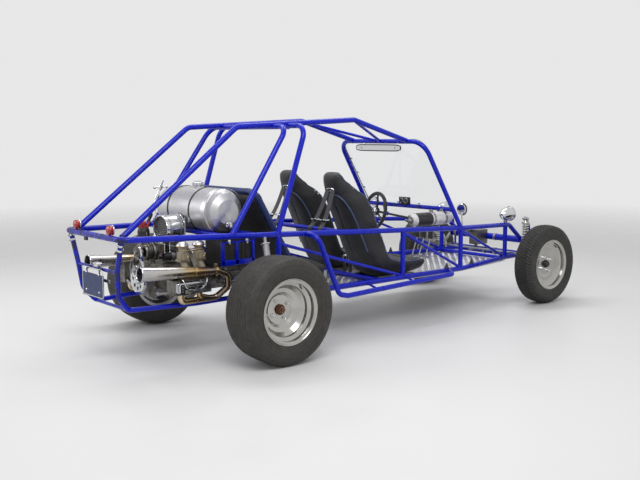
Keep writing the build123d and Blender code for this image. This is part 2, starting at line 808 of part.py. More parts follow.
# Finned barrels fused to their heads, one piece each side
fin_pitch = (head_w - cylinder_w) / fin_count
barrel_profile = []
for fin in range(fin_count):
    fin_low = (fin + 1) * fin_pitch - fin_thick
    barrel_profile += [
        (max(seat_gap, fin * fin_pitch), barrel_r),
        (fin_low, barrel_r),
        (fin_low, fin_r),
        (fin_low + fin_thick, fin_r),
    ]
with BuildPart() as cylinders:
    for side in (-1, 1):
        for cylinder_s in cylinder_stations:
            add_turned(barrel_profile, at(cylinder_s, side * cylinder_w, crank_z), (0, side, 0))
        with BuildSketch(cross_plane(case_rear_s)) as head_section:
            with BuildLine():
                Polyline(
                    (side * (head_w - 1), 424),
                    (side * cover_w, 420),
                    (side * cover_w, 508),
                    (side * 322, 566),
                    (side * (head_w - 1), 566),
                    close=True,
                )
            make_face()
        extrude(amount=head_length)
        for slot_z in (516, 530, 544):
            for low_s, high_s in ((case_rear_s - 4, -458), (-268, case_rear_s + head_length + 4)):
                add_block(
                    at(low_s, min(side * (head_w + 8), side * (cover_w + 4)), slot_z),
                    at(high_s, max(side * (head_w + 8), side * (cover_w + 4)), slot_z + 7),
                    Mode.SUBTRACT,
                )

# Valve covers: a lip, a tapered dome and three long ribs on the outside
cover_s = case_rear_s + head_length / 2
cover_z = 464
cover_length = 248
cover_height = 84
with BuildPart() as valve_covers:
    for side in (-1, 1):
        cover_plane = Plane(
            origin=at(cover_s, side * (cover_w + seat_gap), cover_z), x_dir=(1, 0, 0), z_dir=(0, side, 0)
        )
        with BuildSketch(cover_plane) as lip:
            RectangleRounded(cover_length, cover_height, 16)
        extrude(amount=5)
        with BuildSketch(cover_plane) as dome:
            RectangleRounded(cover_length - 18, cover_height - 18, 12)
        extrude(amount=36, taper=7)
        for rib_place in (-16, 0, 16):
            with BuildSketch(cover_plane.offset(30)) as rib:
                with Locations((0, rib_place)):
                    SlotOverall(cover_length - 60, 7)
            extrude(amount=9)

# Crank pulley with round holes, and its belt up to the generator
pulley_back = 45
pulley_s = case_rear_s - seat_gap - pulley_back
pulley_r = 90
groove_r = 80
generator_z = 662
generator_pulley_r = 44
generator_groove_r = 34
belt_fit = 0.3
belt_half = 6
belt_thick = 8
groove_half = belt_half + belt_fit
hole_ring_r = 55
hole_r = 12


def belt_loop(growth):
    """The belt's outline round both pulleys, grown outwards by a distance."""
    with BuildSketch(cross_plane(pulley_s - belt_half)) as loop:
        with BuildLine():
            CenterArc((0, crank_z), groove_r + belt_fit + growth, 0, 360)
            CenterArc((0, generator_z), generator_groove_r + belt_fit + growth, 0, 360)
        make_hull()
    return loop.sketch


with BuildPart() as pulley:
    add_turned(
        [
            (0, 30),
            (34, 30),
            (34, pulley_r),
            (pulley_back - groove_half, pulley_r),
            (pulley_back - groove_half, groove_r),
            (pulley_back + groove_half, groove_r),
            (pulley_back + groove_half, pulley_r),
            (56, pulley_r),
            (56, pulley_r - 14),
            (50, 30),
            (62, 26),
            (72, 16),
        ],
        at(case_rear_s - seat_gap, 0, crank_z),
        (-1, 0, 0),
    )
    with BuildSketch(cross_plane(case_rear_s - 80)) as lightening:
        with Locations((0, crank_z)):
            with PolarLocations(hole_ring_r, 8):
                Circle(hole_r)
    extrude(amount=60, mode=Mode.SUBTRACT)
with BuildPart() as belt:
    extrude(belt_loop(belt_thick), amount=2 * belt_half)
    extrude(belt_loop(0), amount=2 * belt_half, mode=Mode.SUBTRACT)
with BuildPart() as crank_pulley:
    add(pulley.part)
    add(belt.part)

# Generator with cooling fins on its stand, and the breather tank above the case
generator_r = 58
generator_core_r = 52
generator_face_s = pulley_s + pulley_back + 91
generator_stand_s = -463
generator_profile = [(0, 30), (8, 46), (18, 50)]
for fin_start in (18, 36, 54, 72):
    generator_profile += [
        (fin_start, generator_r),
        (fin_start + 8, generator_r),
        (fin_start + 8, generator_core_r),
        (fin_start + 18, generator_core_r),
    ]
generator_profile += [(100, 48), (108, 22)]
generator_pulley_at = generator_face_s - pulley_s
with BuildPart() as generator:
    add_turned(
        generator_profile
        + [
            (generator_pulley_at - 10, 14),
            (generator_pulley_at - 10, generator_pulley_r),
            (generator_pulley_at - groove_half, generator_pulley_r),
            (generator_pulley_at - groove_half, generator_groove_r),
            (generator_pulley_at + groove_half, generator_groove_r),
            (generator_pulley_at + groove_half, generator_pulley_r),
            (generator_pulley_at + 10, generator_pulley_r),
            (generator_pulley_at + 13, 14),
            (generator_pulley_at + 23, 12),
        ],
        at(generator_face_s, 0, generator_z),
        (-1, 0, 0),
    )
    with BuildSketch(Plane.XY.offset(case_high_z + seat_gap)) as stand:
        with Locations(at(generator_stand_s, 0, 0)[:2]):
            RectangleRounded(50, 84, 10)
    extrude(amount=generator_z - generator_core_r + 8 - case_high_z, taper=12)
    add(engine_case.part, mode=Mode.SUBTRACT)
breather_s = -310
breather_z = 800
breather_r = 94
breather_half = 66
mouth_depth = 40
with BuildPart() as breather_tank:
    add_turned(
        [
            (-breather_half, breather_r - 4),
            (-breather_half + 4, breather_r),
            (breather_half - 12, breather_r),
            (breather_half - 4, breather_r - 8),
            (breather_half, breather_r - 24),
        ],
        at(breather_s, 0, breather_z),
        (1, 0, 0),
    )
    with BuildSketch(cross_plane(breather_s - breather_half + mouth_depth)) as mouth:
        with Locations((0, breather_z)):
            Circle(breather_r - 8)
    extrude(amount=-mouth_depth - 20, mode=Mode.SUBTRACT)
    for leg_y in (-34, 34):
        with BuildSketch(Plane.XY.offset(case_high_z + seat_gap)) as leg:
            with Locations(at(breather_s + 12, leg_y, 0)[:2]):
                Rectangle(64, 8)
        extrude(amount=breather_z - breather_r - case_high_z + 16)
distributor_s = -455
distributor_y = 84
distributor_foot_z = 556
distributor_cap_z = 745
with BuildPart() as distributor:
    add_turned(
        [
            (0, 20),
            (42, 20),
            (42, 15),
            (distributor_cap_z - distributor_foot_z - 20, 15),
            (distributor_cap_z - distributor_foot_z - 14, 32),
            (distributor_cap_z - distributor_foot_z, 34),
            (distributor_cap_z - distributor_foot_z, 40),
            (distributor_cap_z - distributor_foot_z + 44, 40),
            (distributor_cap_z - distributor_foot_z + 62, 34),
            (distributor_cap_z - distributor_foot_z + 72, 24),
        ],
        at(distributor_s, distributor_y, distributor_foot_z),
        (0, 0, 1),
    )
    with BuildSketch(Plane.XY.offset(distributor_cap_z + 52)) as towers:
        with Locations(at(distributor_s, distributor_y, 0)[:2]):
            with PolarLocations(25, 4, start_angle=45):
                Circle(7)
            Circle(8)
    extrude(amount=40)
    add(engine_case.part, mode=Mode.SUBTRACT)

# Carburettors: two each side on short manifolds, each with a float bowl and an open horn
throat_stations = (-370, -250)
throat_w = 262
with BuildPart() as carburettors:
    for side in (-1, 1):
        for throat_s in throat_stations:
            add_bar(at(throat_s, side * 312, 566.3), at(throat_s, side * throat_w, 622), 21)
            with BuildSketch(Plane.XY.offset(616)) as flange:
                with Locations(at(throat_s, side * throat_w, 0)[:2]):
                    RectangleRounded(74, 62, 8)
            extrude(amount=8)
            with BuildSketch(Plane.XY.offset(622)) as body:
                with Locations(at(throat_s, side * throat_w, 0)[:2]):
                    RectangleRounded(62, 58, 14)
            extrude(amount=54)
            with BuildSketch(Plane.XY.offset(630)) as bowl:
                with Locations(at(throat_s, side * (throat_w + 34), 0)[:2]):
                    RectangleRounded(48, 30, 10)
            extrude(amount=38)
            add_turned(
                [(0, 26), (6, 24), (26, 27), (34, 36), (36, 40), (39, 40)],
                at(throat_s, side * throat_w, 676),
                (0, 0, 1),
            )
            with BuildSketch(Plane.XY.offset(690)) as throat:
                with Locations(at(throat_s, side * throat_w, 0)[:2]):
                    Circle(21)
            extrude(amount=40, mode=Mode.SUBTRACT)
    add(cylinders.part, mode=Mode.SUBTRACT)

# Exhausts: two pipes each side into one bend, then an open megaphone
pipe_w = 336
pipe_r = 21
pipe_low_z = 372
port_z = 424
collector_s = -190
collector_w = 385
collector_z = 553
mouth_s = -728
mouth_w = 362
mouth_z = 579
mouth_r = 46
mouth_wall = 3
with BuildPart() as exhausts:
    for side in (-1, 1):
        add_tube(
            [
                at(cylinder_stations[0], side * pipe_w, port_z),
                at(cylinder_stations[0], side * pipe_w, pipe_low_z),
                at(-170, side * pipe_w, pipe_low_z),
                at(-110, side * collector_w, 440),
                at(-110, side * collector_w, 520),
                at(collector_s, side * collector_w, collector_z),
            ],
            pipe_r,
            [24, 40, 30, 36],
        )
        add_tube(
            [
                at(cylinder_stations[1], side * pipe_w, port_z),
                at(cylinder_stations[1] + 8, side * pipe_w, pipe_low_z + 20),
                at(cylinder_stations[1] + 80, side * pipe_w, pipe_low_z),
            ],
            pipe_r - 1,
            [30],
        )
        start = Vector(*at(collector_s, side * collector_w, collector_z))
        end = Vector(*at(mouth_s, side * mouth_w, mouth_z))
        run = (end - start).normalized()
        add_bar(tuple(start), tuple(end), pipe_r + 3, mouth_r)
        add_bar(tuple(start + run * 6), tuple(start + run * 22), pipe_r + 9)
        with BuildSketch(Plane(origin=tuple(end), z_dir=run)) as open_mouth:
            Circle(mouth_r - mouth_wall)
        extrude(amount=-150, taper=3, mode=Mode.SUBTRACT)
    for piece in (cylinders, valve_covers, carburettors, rear_cage):
        add(piece.part, mode=Mode.SUBTRACT)

# Fuel tank across the frame, on two tubes, held by straps
tank_r = 150
tank_half = cabin_w - 128
neck_r = 34
neck_collar = 5
neck_length = 26
tank_z = tank_rail_z + sqrt((tank_r + brace_tube_r + seat_gap) ** 2 - tank_saddle**2)
with BuildPart() as fuel_tank:
    add_turned(
        [
            (-tank_half, 30),
            (-tank_half + 8, 80),
            (-tank_half + 32, 122),
            (-tank_half + 70, 144),
            (-tank_half + 105, tank_r),
            (tank_half - 105, tank_r),
            (tank_half - 70, 144),
            (tank_half - 32, 122),
            (tank_half - 8, 80),
            (tank_half, 30),
        ],
        at(tank_s, 0, tank_z),
        (0, 1, 0),
    )
    add_bar(at(tank_s, 0, tank_z + tank_r - 16), at(tank_s, 0, tank_z + tank_r + neck_collar), neck_r + 10)
    neck_top_z = tank_z + tank_r + neck_collar + neck_length
    add_bar(at(tank_s, 0, tank_z + tank_r), at(tank_s, 0, neck_top_z), neck_r)
with BuildPart() as tank_straps:
    for strap_y in (-120, 150):
        add_ring(
            [(-6, tank_r + seat_gap), (6, tank_r + seat_gap), (6, tank_r + 3), (-6, tank_r + 3)],
            at(tank_s, strap_y, tank_z),
            (0, 1, 0),
        )
    add(cross_bars.part, mode=Mode.SUBTRACT)

# Seats: two high-backed buckets and a rear bench
seat_half = (cabin_w - 76) / 2
seat_y = cabin_w - 26 - seat_half
# columns: station, height, of the side profile
seat_side = [
    (848, 1160), (838, 1000), (1000, 690), (1085, 400), (1115, 372), (1690, 380), (1730, 430),
    (1705, 500), (1500, 520), (1350, 600), (1200, 760), (1040, 950), (960, 1060), (935, 1150), (895, 1188),
]
# columns: share of the half width, height, of the back's outline
seat_back = [
    (1, 372), (1, 720), (0.887, 820), (0.708, 910), (0.509, 1000), (0.396, 1080), (0.321, 1150), (0.16, 1189),
]
cushion_half = seat_half - 62
seat_plane = {}
for side in (-1, 1):
    seat_plane[side] = Plane(origin=(rear_axle_x, side * seat_y, 0), x_dir=(1, 0, 0), z_dir=(0, -1, 0))
seats = {}
for side, side_name in ((-1, "right"), (1, "left")):
    with BuildPart() as seat:
        with BuildSketch(seat_plane[side]) as profile:
            with BuildLine():
                Polyline(*seat_side, close=True)
            make_face()
        extrude(profile.sketch, amount=seat_half, both=True)
        with BuildSketch(Plane(origin=at(700, side * seat_y, 0), x_dir=(0, 1, 0), z_dir=(1, 0, 0))) as front:
            with BuildLine():
                half_back = [(share * seat_half, z) for share, z in seat_back]
                Polyline(*(half_back + [(-y, z) for y, z in half_back[::-1]]), close=True)
            make_face()
        extrude(front.sketch, amount=1200, mode=Mode.INTERSECT)
        with BuildSketch(seat_plane[side]) as hollow:
            with BuildLine():
                Polyline((900, 1110), (1120, 700), (1240, 470), (1800, 455), (1800, 1110), close=True)
            make_face()
        extrude(hollow.sketch, amount=cushion_half, both=True, mode=Mode.SUBTRACT)
        add_block(
            at(1180, side * seat_y - cushion_half, pan_top_z + seat_gap),
            at(1560, side * seat_y + cushion_half, 376),
        )
    seats[side_name] = seat
bench_half = cabin_w - 100
bench_side = [(62, 1060), (380, 560), (420, 430), (760, 450), (760, 530), (470, 520), (130, 1075)]
with BuildPart() as rear_bench:
    with BuildSketch(Plane(origin=(rear_axle_x, 0, 0), x_dir=(1, 0, 0), z_dir=(0, -1, 0))) as profile:
        with BuildLine():
            Polyline(*bench_side, close=True)
        make_face()
    extrude(profile.sketch, amount=bench_half, both=True)
    with BuildSketch(Plane(origin=at(0, 0, 0), x_dir=(0, 1, 0), z_dir=(1, 0, 0))) as outline:
        with Locations((0, 740)):
            RectangleRounded(2 * bench_half, 674, 90)
    extrude(outline.sketch, amount=900, mode=Mode.INTERSECT)
    add_block(at(610, 10 - bench_half, pan_top_z + seat_gap), at(750, bench_half - 10, 455))
    for piece in (fuel_tank, tank_straps, cross_bars, torsion_tube, transaxle):
        add(piece.part, mode=Mode.SUBTRACT)

# Battery in a box hung from the tank's tubes
with BuildPart() as battery_box:
    add_block(at(-162, 98 - cabin_w, 580), at(82, 295 - cabin_w, tank_rail_z - brace_tube_r - seat_gap))
    for piece in (cross_bars, transaxle, exhausts, trailing_arms, fuel_tank):
        add(piece.part, mode=Mode.SUBTRACT)

# Lamps, plate, mirrors, canister and pedals
with BuildPart() as headlamps:
    for side in (-1, 1):
        add_bar(
            at(nose_post_s, side * nose_w, nose_post_z + main_tube_r - 6),
            at(nose_post_s, side * nose_w, 690),
            10,
        )
        add_turned(
            [(-62, 18), (-50, 38), (-18, 58), (40, 62), (52, 62), (60, 50), (66, 10)],
            at(nose_post_s, side * nose_w, 735),
            (1, 0, 0),
        )
    for piece in (upper_rail, side_uprights):
        add(piece.part, mode=Mode.SUBTRACT)
tail_lamp_w = 235
tail_lamp_z = 848
with BuildPart() as tail_lamps:
    for side in (-1, 1):
        lamp_face = at(rear_bar_s + 17, side * tail_lamp_w, tail_lamp_z)
        add_turned([(0, 20), (6, 27), (22, 30), (30, 26), (35, 12)], lamp_face, (-1, 0, 0))
        add_bar(at(rear_bar_s, side * tail_lamp_w, 812), at(rear_bar_s, side * tail_lamp_w, tail_lamp_z), 8)
    for piece in (upper_rail, roof_rails):
        add(piece.part, mode=Mode.SUBTRACT)
with BuildPart() as number_plate:
    add_block(at(-862, -150, 410), at(-859, 150, 560))
    for hanger_y in (-90, 90):
        add_block(at(-859, hanger_y - 8, 540), at(-856, hanger_y + 8, 600))
        add_block(at(-856, hanger_y - 8, 584), at(-836, hanger_y + 8, 600))
    add(rear_cage.part, mode=Mode.SUBTRACT)
mirror_y = -38
mirror_half = 250
mirror_z = 1310
mirror_s = screen_top_s - 55
stalk_s = screen_foot_s + 24
with BuildPart() as mirrors:
    add_block(
        at(mirror_s, mirror_y - mirror_half, mirror_z - 22),
        at(mirror_s + 8, mirror_y + mirror_half, mirror_z + 22),
    )
    for bracket_y in (mirror_y - 190, mirror_y + 190):
        add_bar(at(mirror_s + 6, bracket_y, mirror_z + 8), at(screen_top_s, bracket_y, screen_top_z - 10), 5)
    for side in (-1, 1):
        stalk_foot = at(stalk_s, side * (cabin_w - 4), rail_height(stalk_s))
        add_bar(stalk_foot, at(stalk_s - 16, side * cabin_w, 800), 5)
        add_turned([(0, 30), (8, 44), (16, 46), (20, 40)], at(stalk_s - 8, side * cabin_w, 826), (-1, 0, 0))
    for piece in (windshield_hoop, upper_rail, roof_rails):
        add(piece.part, mode=Mode.SUBTRACT)
canister_r = 52
with BuildPart() as canister:
    add_turned(
        [(0, 30), (14, 46), (30, canister_r), (400, canister_r), (425, 40), (432, 20), (462, 20)],
        at(dash_s - 364, 100 - cabin_w, dash_z - dash_bar_r - canister_r - seat_gap),
        (1, 0, 0),
    )
pedal_foot_s = nose_post_s - 445
pedal_top_z = 570
with BuildPart() as pedals:
    for pedal_y in (seat_y - 92, seat_y - 12, seat_y + 68):
        add_block(
            at(pedal_foot_s, pedal_y - 18, pan_top_z + seat_gap),
            at(pedal_foot_s + 50, pedal_y + 18, pan_top_z + 16),
        )
        add_bar(at(pedal_foot_s + 25, pedal_y, pan_top_z + 8), at(pedal_foot_s + 91, pedal_y, 515), 6)
        add_block(
            at(pedal_foot_s + 85, pedal_y - 28, pedal_top_z - 70),
            at(pedal_foot_s + 97, pedal_y + 28, pedal_top_z),
        )

# Files
pieces = [
    (upper_rail, "upper_rail"),
    (roof_rails, "roof_rails"),
    (hoops["rear_hoop"], "rear_hoop"),
    (hoops["main_hoop"], "main_hoop"),
    (windshield_hoop, "windshield_hoop"),
    (lower_rails, "lower_rails"),
    (front_beam, "front_beam"),
    (side_uprights, "side_uprights"),
    (cross_bars, "cross_bars"),
    (side_bars, "side_bars"),
    (rear_cage, "rear_cage"),
    (floor_pan, "floor_pan"),
    (windshield, "windshield"),
    (front_arms, "front_arms"),
    (coil_overs, "coil_overs"),
    (knuckles["right"], "knuckle_right"),
    (knuckles["left"], "knuckle_left"),
    (steering_box, "steering_box"),
    (steering_wheel, "steering_wheel"),
    (pitman_arm, "pitman_arm"),
    (tie_rods, "tie_rods"),
    (torsion_tube, "torsion_tube"),
    (trailing_arms, "trailing_arms"),
    (rear_dampers, "rear_dampers"),
    (transaxle, "transaxle"),
    (half_shafts["right"], "half_shaft_right"),
    (half_shafts["left"], "half_shaft_left"),
    (engine_case, "engine_case"),
    (cylinders, "cylinders"),
    (valve_covers, "valve_covers"),
    (crank_pulley, "crank_pulley"),
    (generator, "generator"),
    (breather_tank, "breather_tank"),
    (distributor, "distributor"),
    (carburettors, "carburettors"),
    (exhausts, "exhausts"),
    (fuel_tank, "fuel_tank"),
    (tank_straps, "tank_straps"),
    (seats["right"], "seat_right"),
    (seats["left"], "seat_left"),
    (rear_bench, "rear_bench"),
    (battery_box, "battery_box"),
    (headlamps, "headlamps"),
    (tail_lamps, "tail_lamps"),
    (number_plate, "number_plate"),
    (mirrors, "mirrors"),
    (canister, "canister"),
    (pedals, "pedals"),
] + [(builder, name) for builder, name in wheel_nodes]
for builder, name in pieces:
    finish(builder, name)
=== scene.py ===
from math import cos, pi, radians, sin, sqrt

import bpy
import numpy as np
from mathutils import Matrix, Vector
from mathutils.bvhtree import BVHTree


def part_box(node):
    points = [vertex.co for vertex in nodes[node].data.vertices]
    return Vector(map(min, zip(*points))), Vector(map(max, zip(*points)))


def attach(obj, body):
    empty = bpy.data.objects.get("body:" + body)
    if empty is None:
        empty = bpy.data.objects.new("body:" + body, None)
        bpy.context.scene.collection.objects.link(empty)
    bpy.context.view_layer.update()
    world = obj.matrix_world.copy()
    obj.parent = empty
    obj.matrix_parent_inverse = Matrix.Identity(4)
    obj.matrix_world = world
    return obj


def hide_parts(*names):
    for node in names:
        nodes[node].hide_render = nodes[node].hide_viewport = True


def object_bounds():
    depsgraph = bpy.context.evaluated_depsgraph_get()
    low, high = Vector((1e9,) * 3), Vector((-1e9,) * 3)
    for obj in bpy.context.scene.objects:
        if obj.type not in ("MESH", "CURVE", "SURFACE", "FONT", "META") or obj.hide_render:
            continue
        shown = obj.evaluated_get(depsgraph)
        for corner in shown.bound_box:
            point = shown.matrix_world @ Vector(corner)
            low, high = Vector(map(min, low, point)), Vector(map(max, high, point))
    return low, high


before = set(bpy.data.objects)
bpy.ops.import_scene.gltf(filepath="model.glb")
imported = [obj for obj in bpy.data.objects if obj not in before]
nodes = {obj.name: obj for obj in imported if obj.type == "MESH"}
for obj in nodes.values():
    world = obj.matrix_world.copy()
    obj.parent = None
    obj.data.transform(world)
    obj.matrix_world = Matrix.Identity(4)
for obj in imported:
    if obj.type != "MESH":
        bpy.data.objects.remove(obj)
cad_low, cad_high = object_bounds()

# Layout of the car, in metres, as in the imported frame
rear_axle_x = sum(c.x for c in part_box("rim_rear_left")) / 2
front_axle_x = sum(c.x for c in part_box("rim_front_left")) / 2
crank_z = sum(c.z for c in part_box("crank_pulley")) / 2
TURN = 2 * pi
SIDES = (("left", 1), ("right", -1))


def at(station, width, height):
    """A point from its station ahead of the rear axle, its offset to the left and its height."""
    return np.array([rear_axle_x + station, width, height])


# Shapes: each is an array of points and a list of arrays of faces
def unit(vectors):
    """The same directions, each one long."""
    vectors = np.asarray(vectors, float)
    return vectors / np.linalg.norm(vectors, axis=-1, keepdims=True)


def around(count):
    """Evenly spaced turns round a circle, in radians."""
    return np.arange(count) * TURN / count


def boxy(wave, power):
    """A cosine or sine pushed towards its ends by a power below one, which squares off a round outline."""
    return np.sign(wave) * np.abs(wave) ** power


def frame_of(axis):
    """An axis made one long, and two directions square to it and to each other."""
    axis = unit(axis)
    helper = np.array([0.0, 0.0, 1.0]) if abs(axis[2]) < 0.9 else np.array([0.0, 1.0, 0.0])
    across = unit(np.cross(helper, axis))
    return axis, across, np.cross(axis, across)


def facing_out(points, faces):
    """The same closed shape, its faces turned over where the volume inside comes out negative."""
    volume = 0.0
    for block in faces:
        first = points[block[:, 0]]
        for second, third in zip(block.T[1:-1], block.T[2:]):
            volume += np.sum(first * np.cross(points[second], points[third]))
    return points, [block[:, ::-1] if volume < 0 else block for block in faces]


def grid_quads(rows, columns, wrap_rows, wrap_columns):
    """Four-cornered faces between neighbouring points of a grid, closed where a direction wraps."""
    row, column = np.meshgrid(
        np.arange(rows if wrap_rows else rows - 1),
        np.arange(columns if wrap_columns else columns - 1),
        indexing="ij",
    )
    below, beside = (row + 1) % rows, (column + 1) % columns
    start, ahead = row * columns, below * columns
    return np.stack([start + column, ahead + column, ahead + beside, start + beside], -1).reshape(-1, 4)


def skin(rings, closed=False):
    """A closed surface over a grid of rings: faces between neighbours, and a flat end on each last ring."""
    count, sides = rings.shape[:2]
    faces = [grid_quads(count, sides, closed, True)]
    if not closed:
        faces += [np.arange(sides)[None], np.arange(sides)[None, ::-1] + (count - 1) * sides]
    return facing_out(rings.reshape(-1, 3), faces)


def turned(profile, origin=(0, 0, 0), axis=(0, 0, 1), steps=40, closed=False):
    """A profile turned about an axis: origin + along * axis + radius * (cos, sin) of the turn across it."""
    along, radius = np.asarray(profile, float).T[:, :, None, None]
    axis, across, other = frame_of(axis)
    turn = around(steps)[:, None]
    ring = np.cos(turn) * across + np.sin(turn) * other
    return skin(np.asarray(origin) + along * axis + radius * ring, closed)


def tube(path, radius, sides=12, closed=False, up=(0, 0, 1), flat=1.0):
    """A round or flattened section carried along a path: point + radius * (cos across + flat * sin other)."""
    path = np.asarray(path, float)
    ahead, behind = np.roll(path, -1, 0), np.roll(path, 1, 0)
    tangent = unit(ahead - behind if closed else np.gradient(path, axis=0))
    across = unit(np.cross(tangent, up))
    other = np.cross(tangent, across)
    turn = around(sides)[:, None]
    reach = np.broadcast_to(radius, len(path))[:, None, None]
    section = np.cos(turn) * across[:, None] + flat * np.sin(turn) * other[:, None]
    return skin(path[:, None] + reach * section, closed)


def through(points, count, closed=False):
    """A smooth path through points: each stretch is the cubic that keeps its neighbours' slope."""
    points = np.asarray(points, float)
    if closed:
        padded = np.concatenate([points[-1:], points, points[:2]])
    else:
        padded = np.concatenate([2 * points[:1] - points[1:2], points, 2 * points[-1:] - points[-2:-1]])
    stretches = len(points) - (0 if closed else 1)
    place = np.linspace(0, stretches, count, endpoint=not closed)
    index = np.minimum(place.astype(int), stretches - 1)
    share = (place - index).reshape(-1, *[1] * (points.ndim - 1))
    a, b, c, d = (padded[index + k] for k in range(4))
    bend, twist = 2 * a - 5 * b + 4 * c - d, 3 * b - a - 3 * c + d
    return 0.5 * (2 * b + (c - a) * share + bend * share**2 + twist * share**3)


def straight(start, end, count=2):
    """Evenly spaced points from start to end."""
    return np.linspace(np.asarray(start, float), np.asarray(end, float), count)


def rod(start, end, radius, sides=12):
    """A straight round bar."""
    run = np.asarray(end, float) - np.asarray(start, float)
    return turned([(0, radius), (np.linalg.norm(run), radius)], start, run, sides)


def collar(origin, axis, inner, outer, low, high, steps=36):
    """A ring with square edges, from low to high along its axis and from its inner to its outer radius."""
    return turned([(low, inner), (low, outer), (high, outer), (high, inner)], origin, axis, steps, True)


def rounded_box(centre, size, radius, steps=3, axes=None):
    """A box with round edges: each point of a small sphere, moved out by its signs to a corner of the box."""
    half = np.asarray(size) / 2 - radius
    around = (np.linspace(0, pi / 2, steps + 1) + np.arange(4)[:, None] * pi / 2).ravel()
    nearly_flat, nearly_upright = 0.02, 0.96 * pi / 2
    rise = np.linspace(nearly_flat, nearly_upright, steps + 1)
    height = np.concatenate([-rise[::-1], rise])[:, None]
    sign_x, sign_y = np.repeat([1, -1, -1, 1], steps + 1), np.repeat([1, 1, -1, -1], steps + 1)
    sign_z = np.repeat([-1, 1], steps + 1)[:, None]
    x = sign_x * half[0] + radius * np.cos(height) * np.cos(around)
    y = sign_y * half[1] + radius * np.cos(height) * np.sin(around)
    z = sign_z * half[2] + radius * np.sin(height) + 0 * around
    points = np.stack([x, y, z], -1)
    if axes is not None:
        points = points @ np.asarray(axes)
    return skin(points + np.asarray(centre))


def copies(shape, places, directions=None):
    """The shape again at each place, its z axis turned to that place's direction where one is given."""
    points, faces = shape
    places = np.asarray(places, float).reshape(-1, 3)
    again = np.broadcast_to(points, (len(places), *points.shape))
    if directions is not None:
        turns = [frame_of(d) for d in np.broadcast_to(directions, places.shape)]
        again = np.stack([points @ np.array([across, other, axis]) for axis, across, other in turns])
    offsets = np.arange(len(places))[:, None, None] * len(points)
    blocks = [(block[None] + offsets).reshape(-1, block.shape[1]) for block in faces]
    return (again + places[:, None]).reshape(-1, 3), blocks


def joined(*shapes):
    """Several shapes as one."""
    start, points, faces = 0, [], []
    for shape_points, shape_faces in shapes:
        points.append(shape_points)
        faces += [block + start for block in shape_faces]
        start += len(shape_points)
    return np.concatenate(points), faces


def mesh_of(name, shape, sharp=35):
    """A Blender mesh of the shape, smooth except along edges sharper than the angle in degrees."""
    points, faces = shape
    mesh = bpy.data.meshes.new(name)
    corners = np.concatenate([block.ravel() for block in faces]).astype(np.int32)
    sizes = np.concatenate([np.full(len(block), block.shape[1]) for block in faces])
    mesh.vertices.add(len(points))
    mesh.vertices.foreach_set("co", points.astype(np.float32).ravel())
    mesh.loops.add(len(corners))
    mesh.loops.foreach_set("vertex_index", corners)
    mesh.polygons.add(len(sizes))
    mesh.polygons.foreach_set("loop_start", np.concatenate([[0], np.cumsum(sizes)[:-1]]).astype(np.int32))
    mesh.update(calc_edges=True)
    mesh.polygons.foreach_set("use_smooth", np.ones(len(sizes), bool))
    mesh.set_sharp_from_angle(angle=radians(sharp))
    return mesh


def piece(name, form, material, body="chassis", stands_for=(), sharp=35):
    """A finished piece of a mesh, a shape or several shapes, riding on a body and standing for its nodes."""
    if isinstance(form, list):
        form = joined(*form)
    mesh = form if isinstance(form, bpy.types.Mesh) else mesh_of(name, form, sharp)
    made = bpy.data.objects.new(name, mesh)
    bpy.context.scene.collection.objects.link(made)
    if not made.data.materials:
        made.data.materials.append(material)
    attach(made, body)
    if stands_for:
        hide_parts(*stands_for)
    return made


def hexagon(across_flats, height, bevel=0.0008):
    """A six-sided head standing on z = 0, its top edge bevelled."""
    corner = across_flats / sqrt(3)
    profile = [(0, corner), (height - bevel, corner), (height, corner - bevel * 1.6)]
    return turned(profile, steps=6)


def bolt(across_flats, height):
    """A hexagon head on its washer, standing on z = 0."""
    washer_r, washer_thick = across_flats * 0.72, 0.0015
    washer = turned([(0, washer_r), (washer_thick, washer_r)], steps=18)
    return joined(washer, copies(hexagon(across_flats, height), (0, 0, washer_thick)))


def bolt_heads(across_flats, height, places, directions=(0, 0, 1)):
    """Bolt heads of one size at the places, facing along one direction or each along its own."""
    return copies(bolt(across_flats, height), places, directions)


def ring_of(count, radius, origin, axis, start=0.0):
    """Evenly spaced places round an axis."""
    axis, across, other = frame_of(axis)
    turn = around(count)[:, None] + start
    return np.asarray(origin) + radius * (np.cos(turn) * across + np.sin(turn) * other)


def torus(origin, axis, ring_r, wire_r, steps=40, sides=12):
    """A round ring: a circle of the wire's size turned about the axis."""
    turn = around(sides)
    profile = np.stack([wire_r * np.sin(turn), ring_r + wire_r * np.cos(turn)], -1)
    return turned(profile, origin, axis, steps, True)


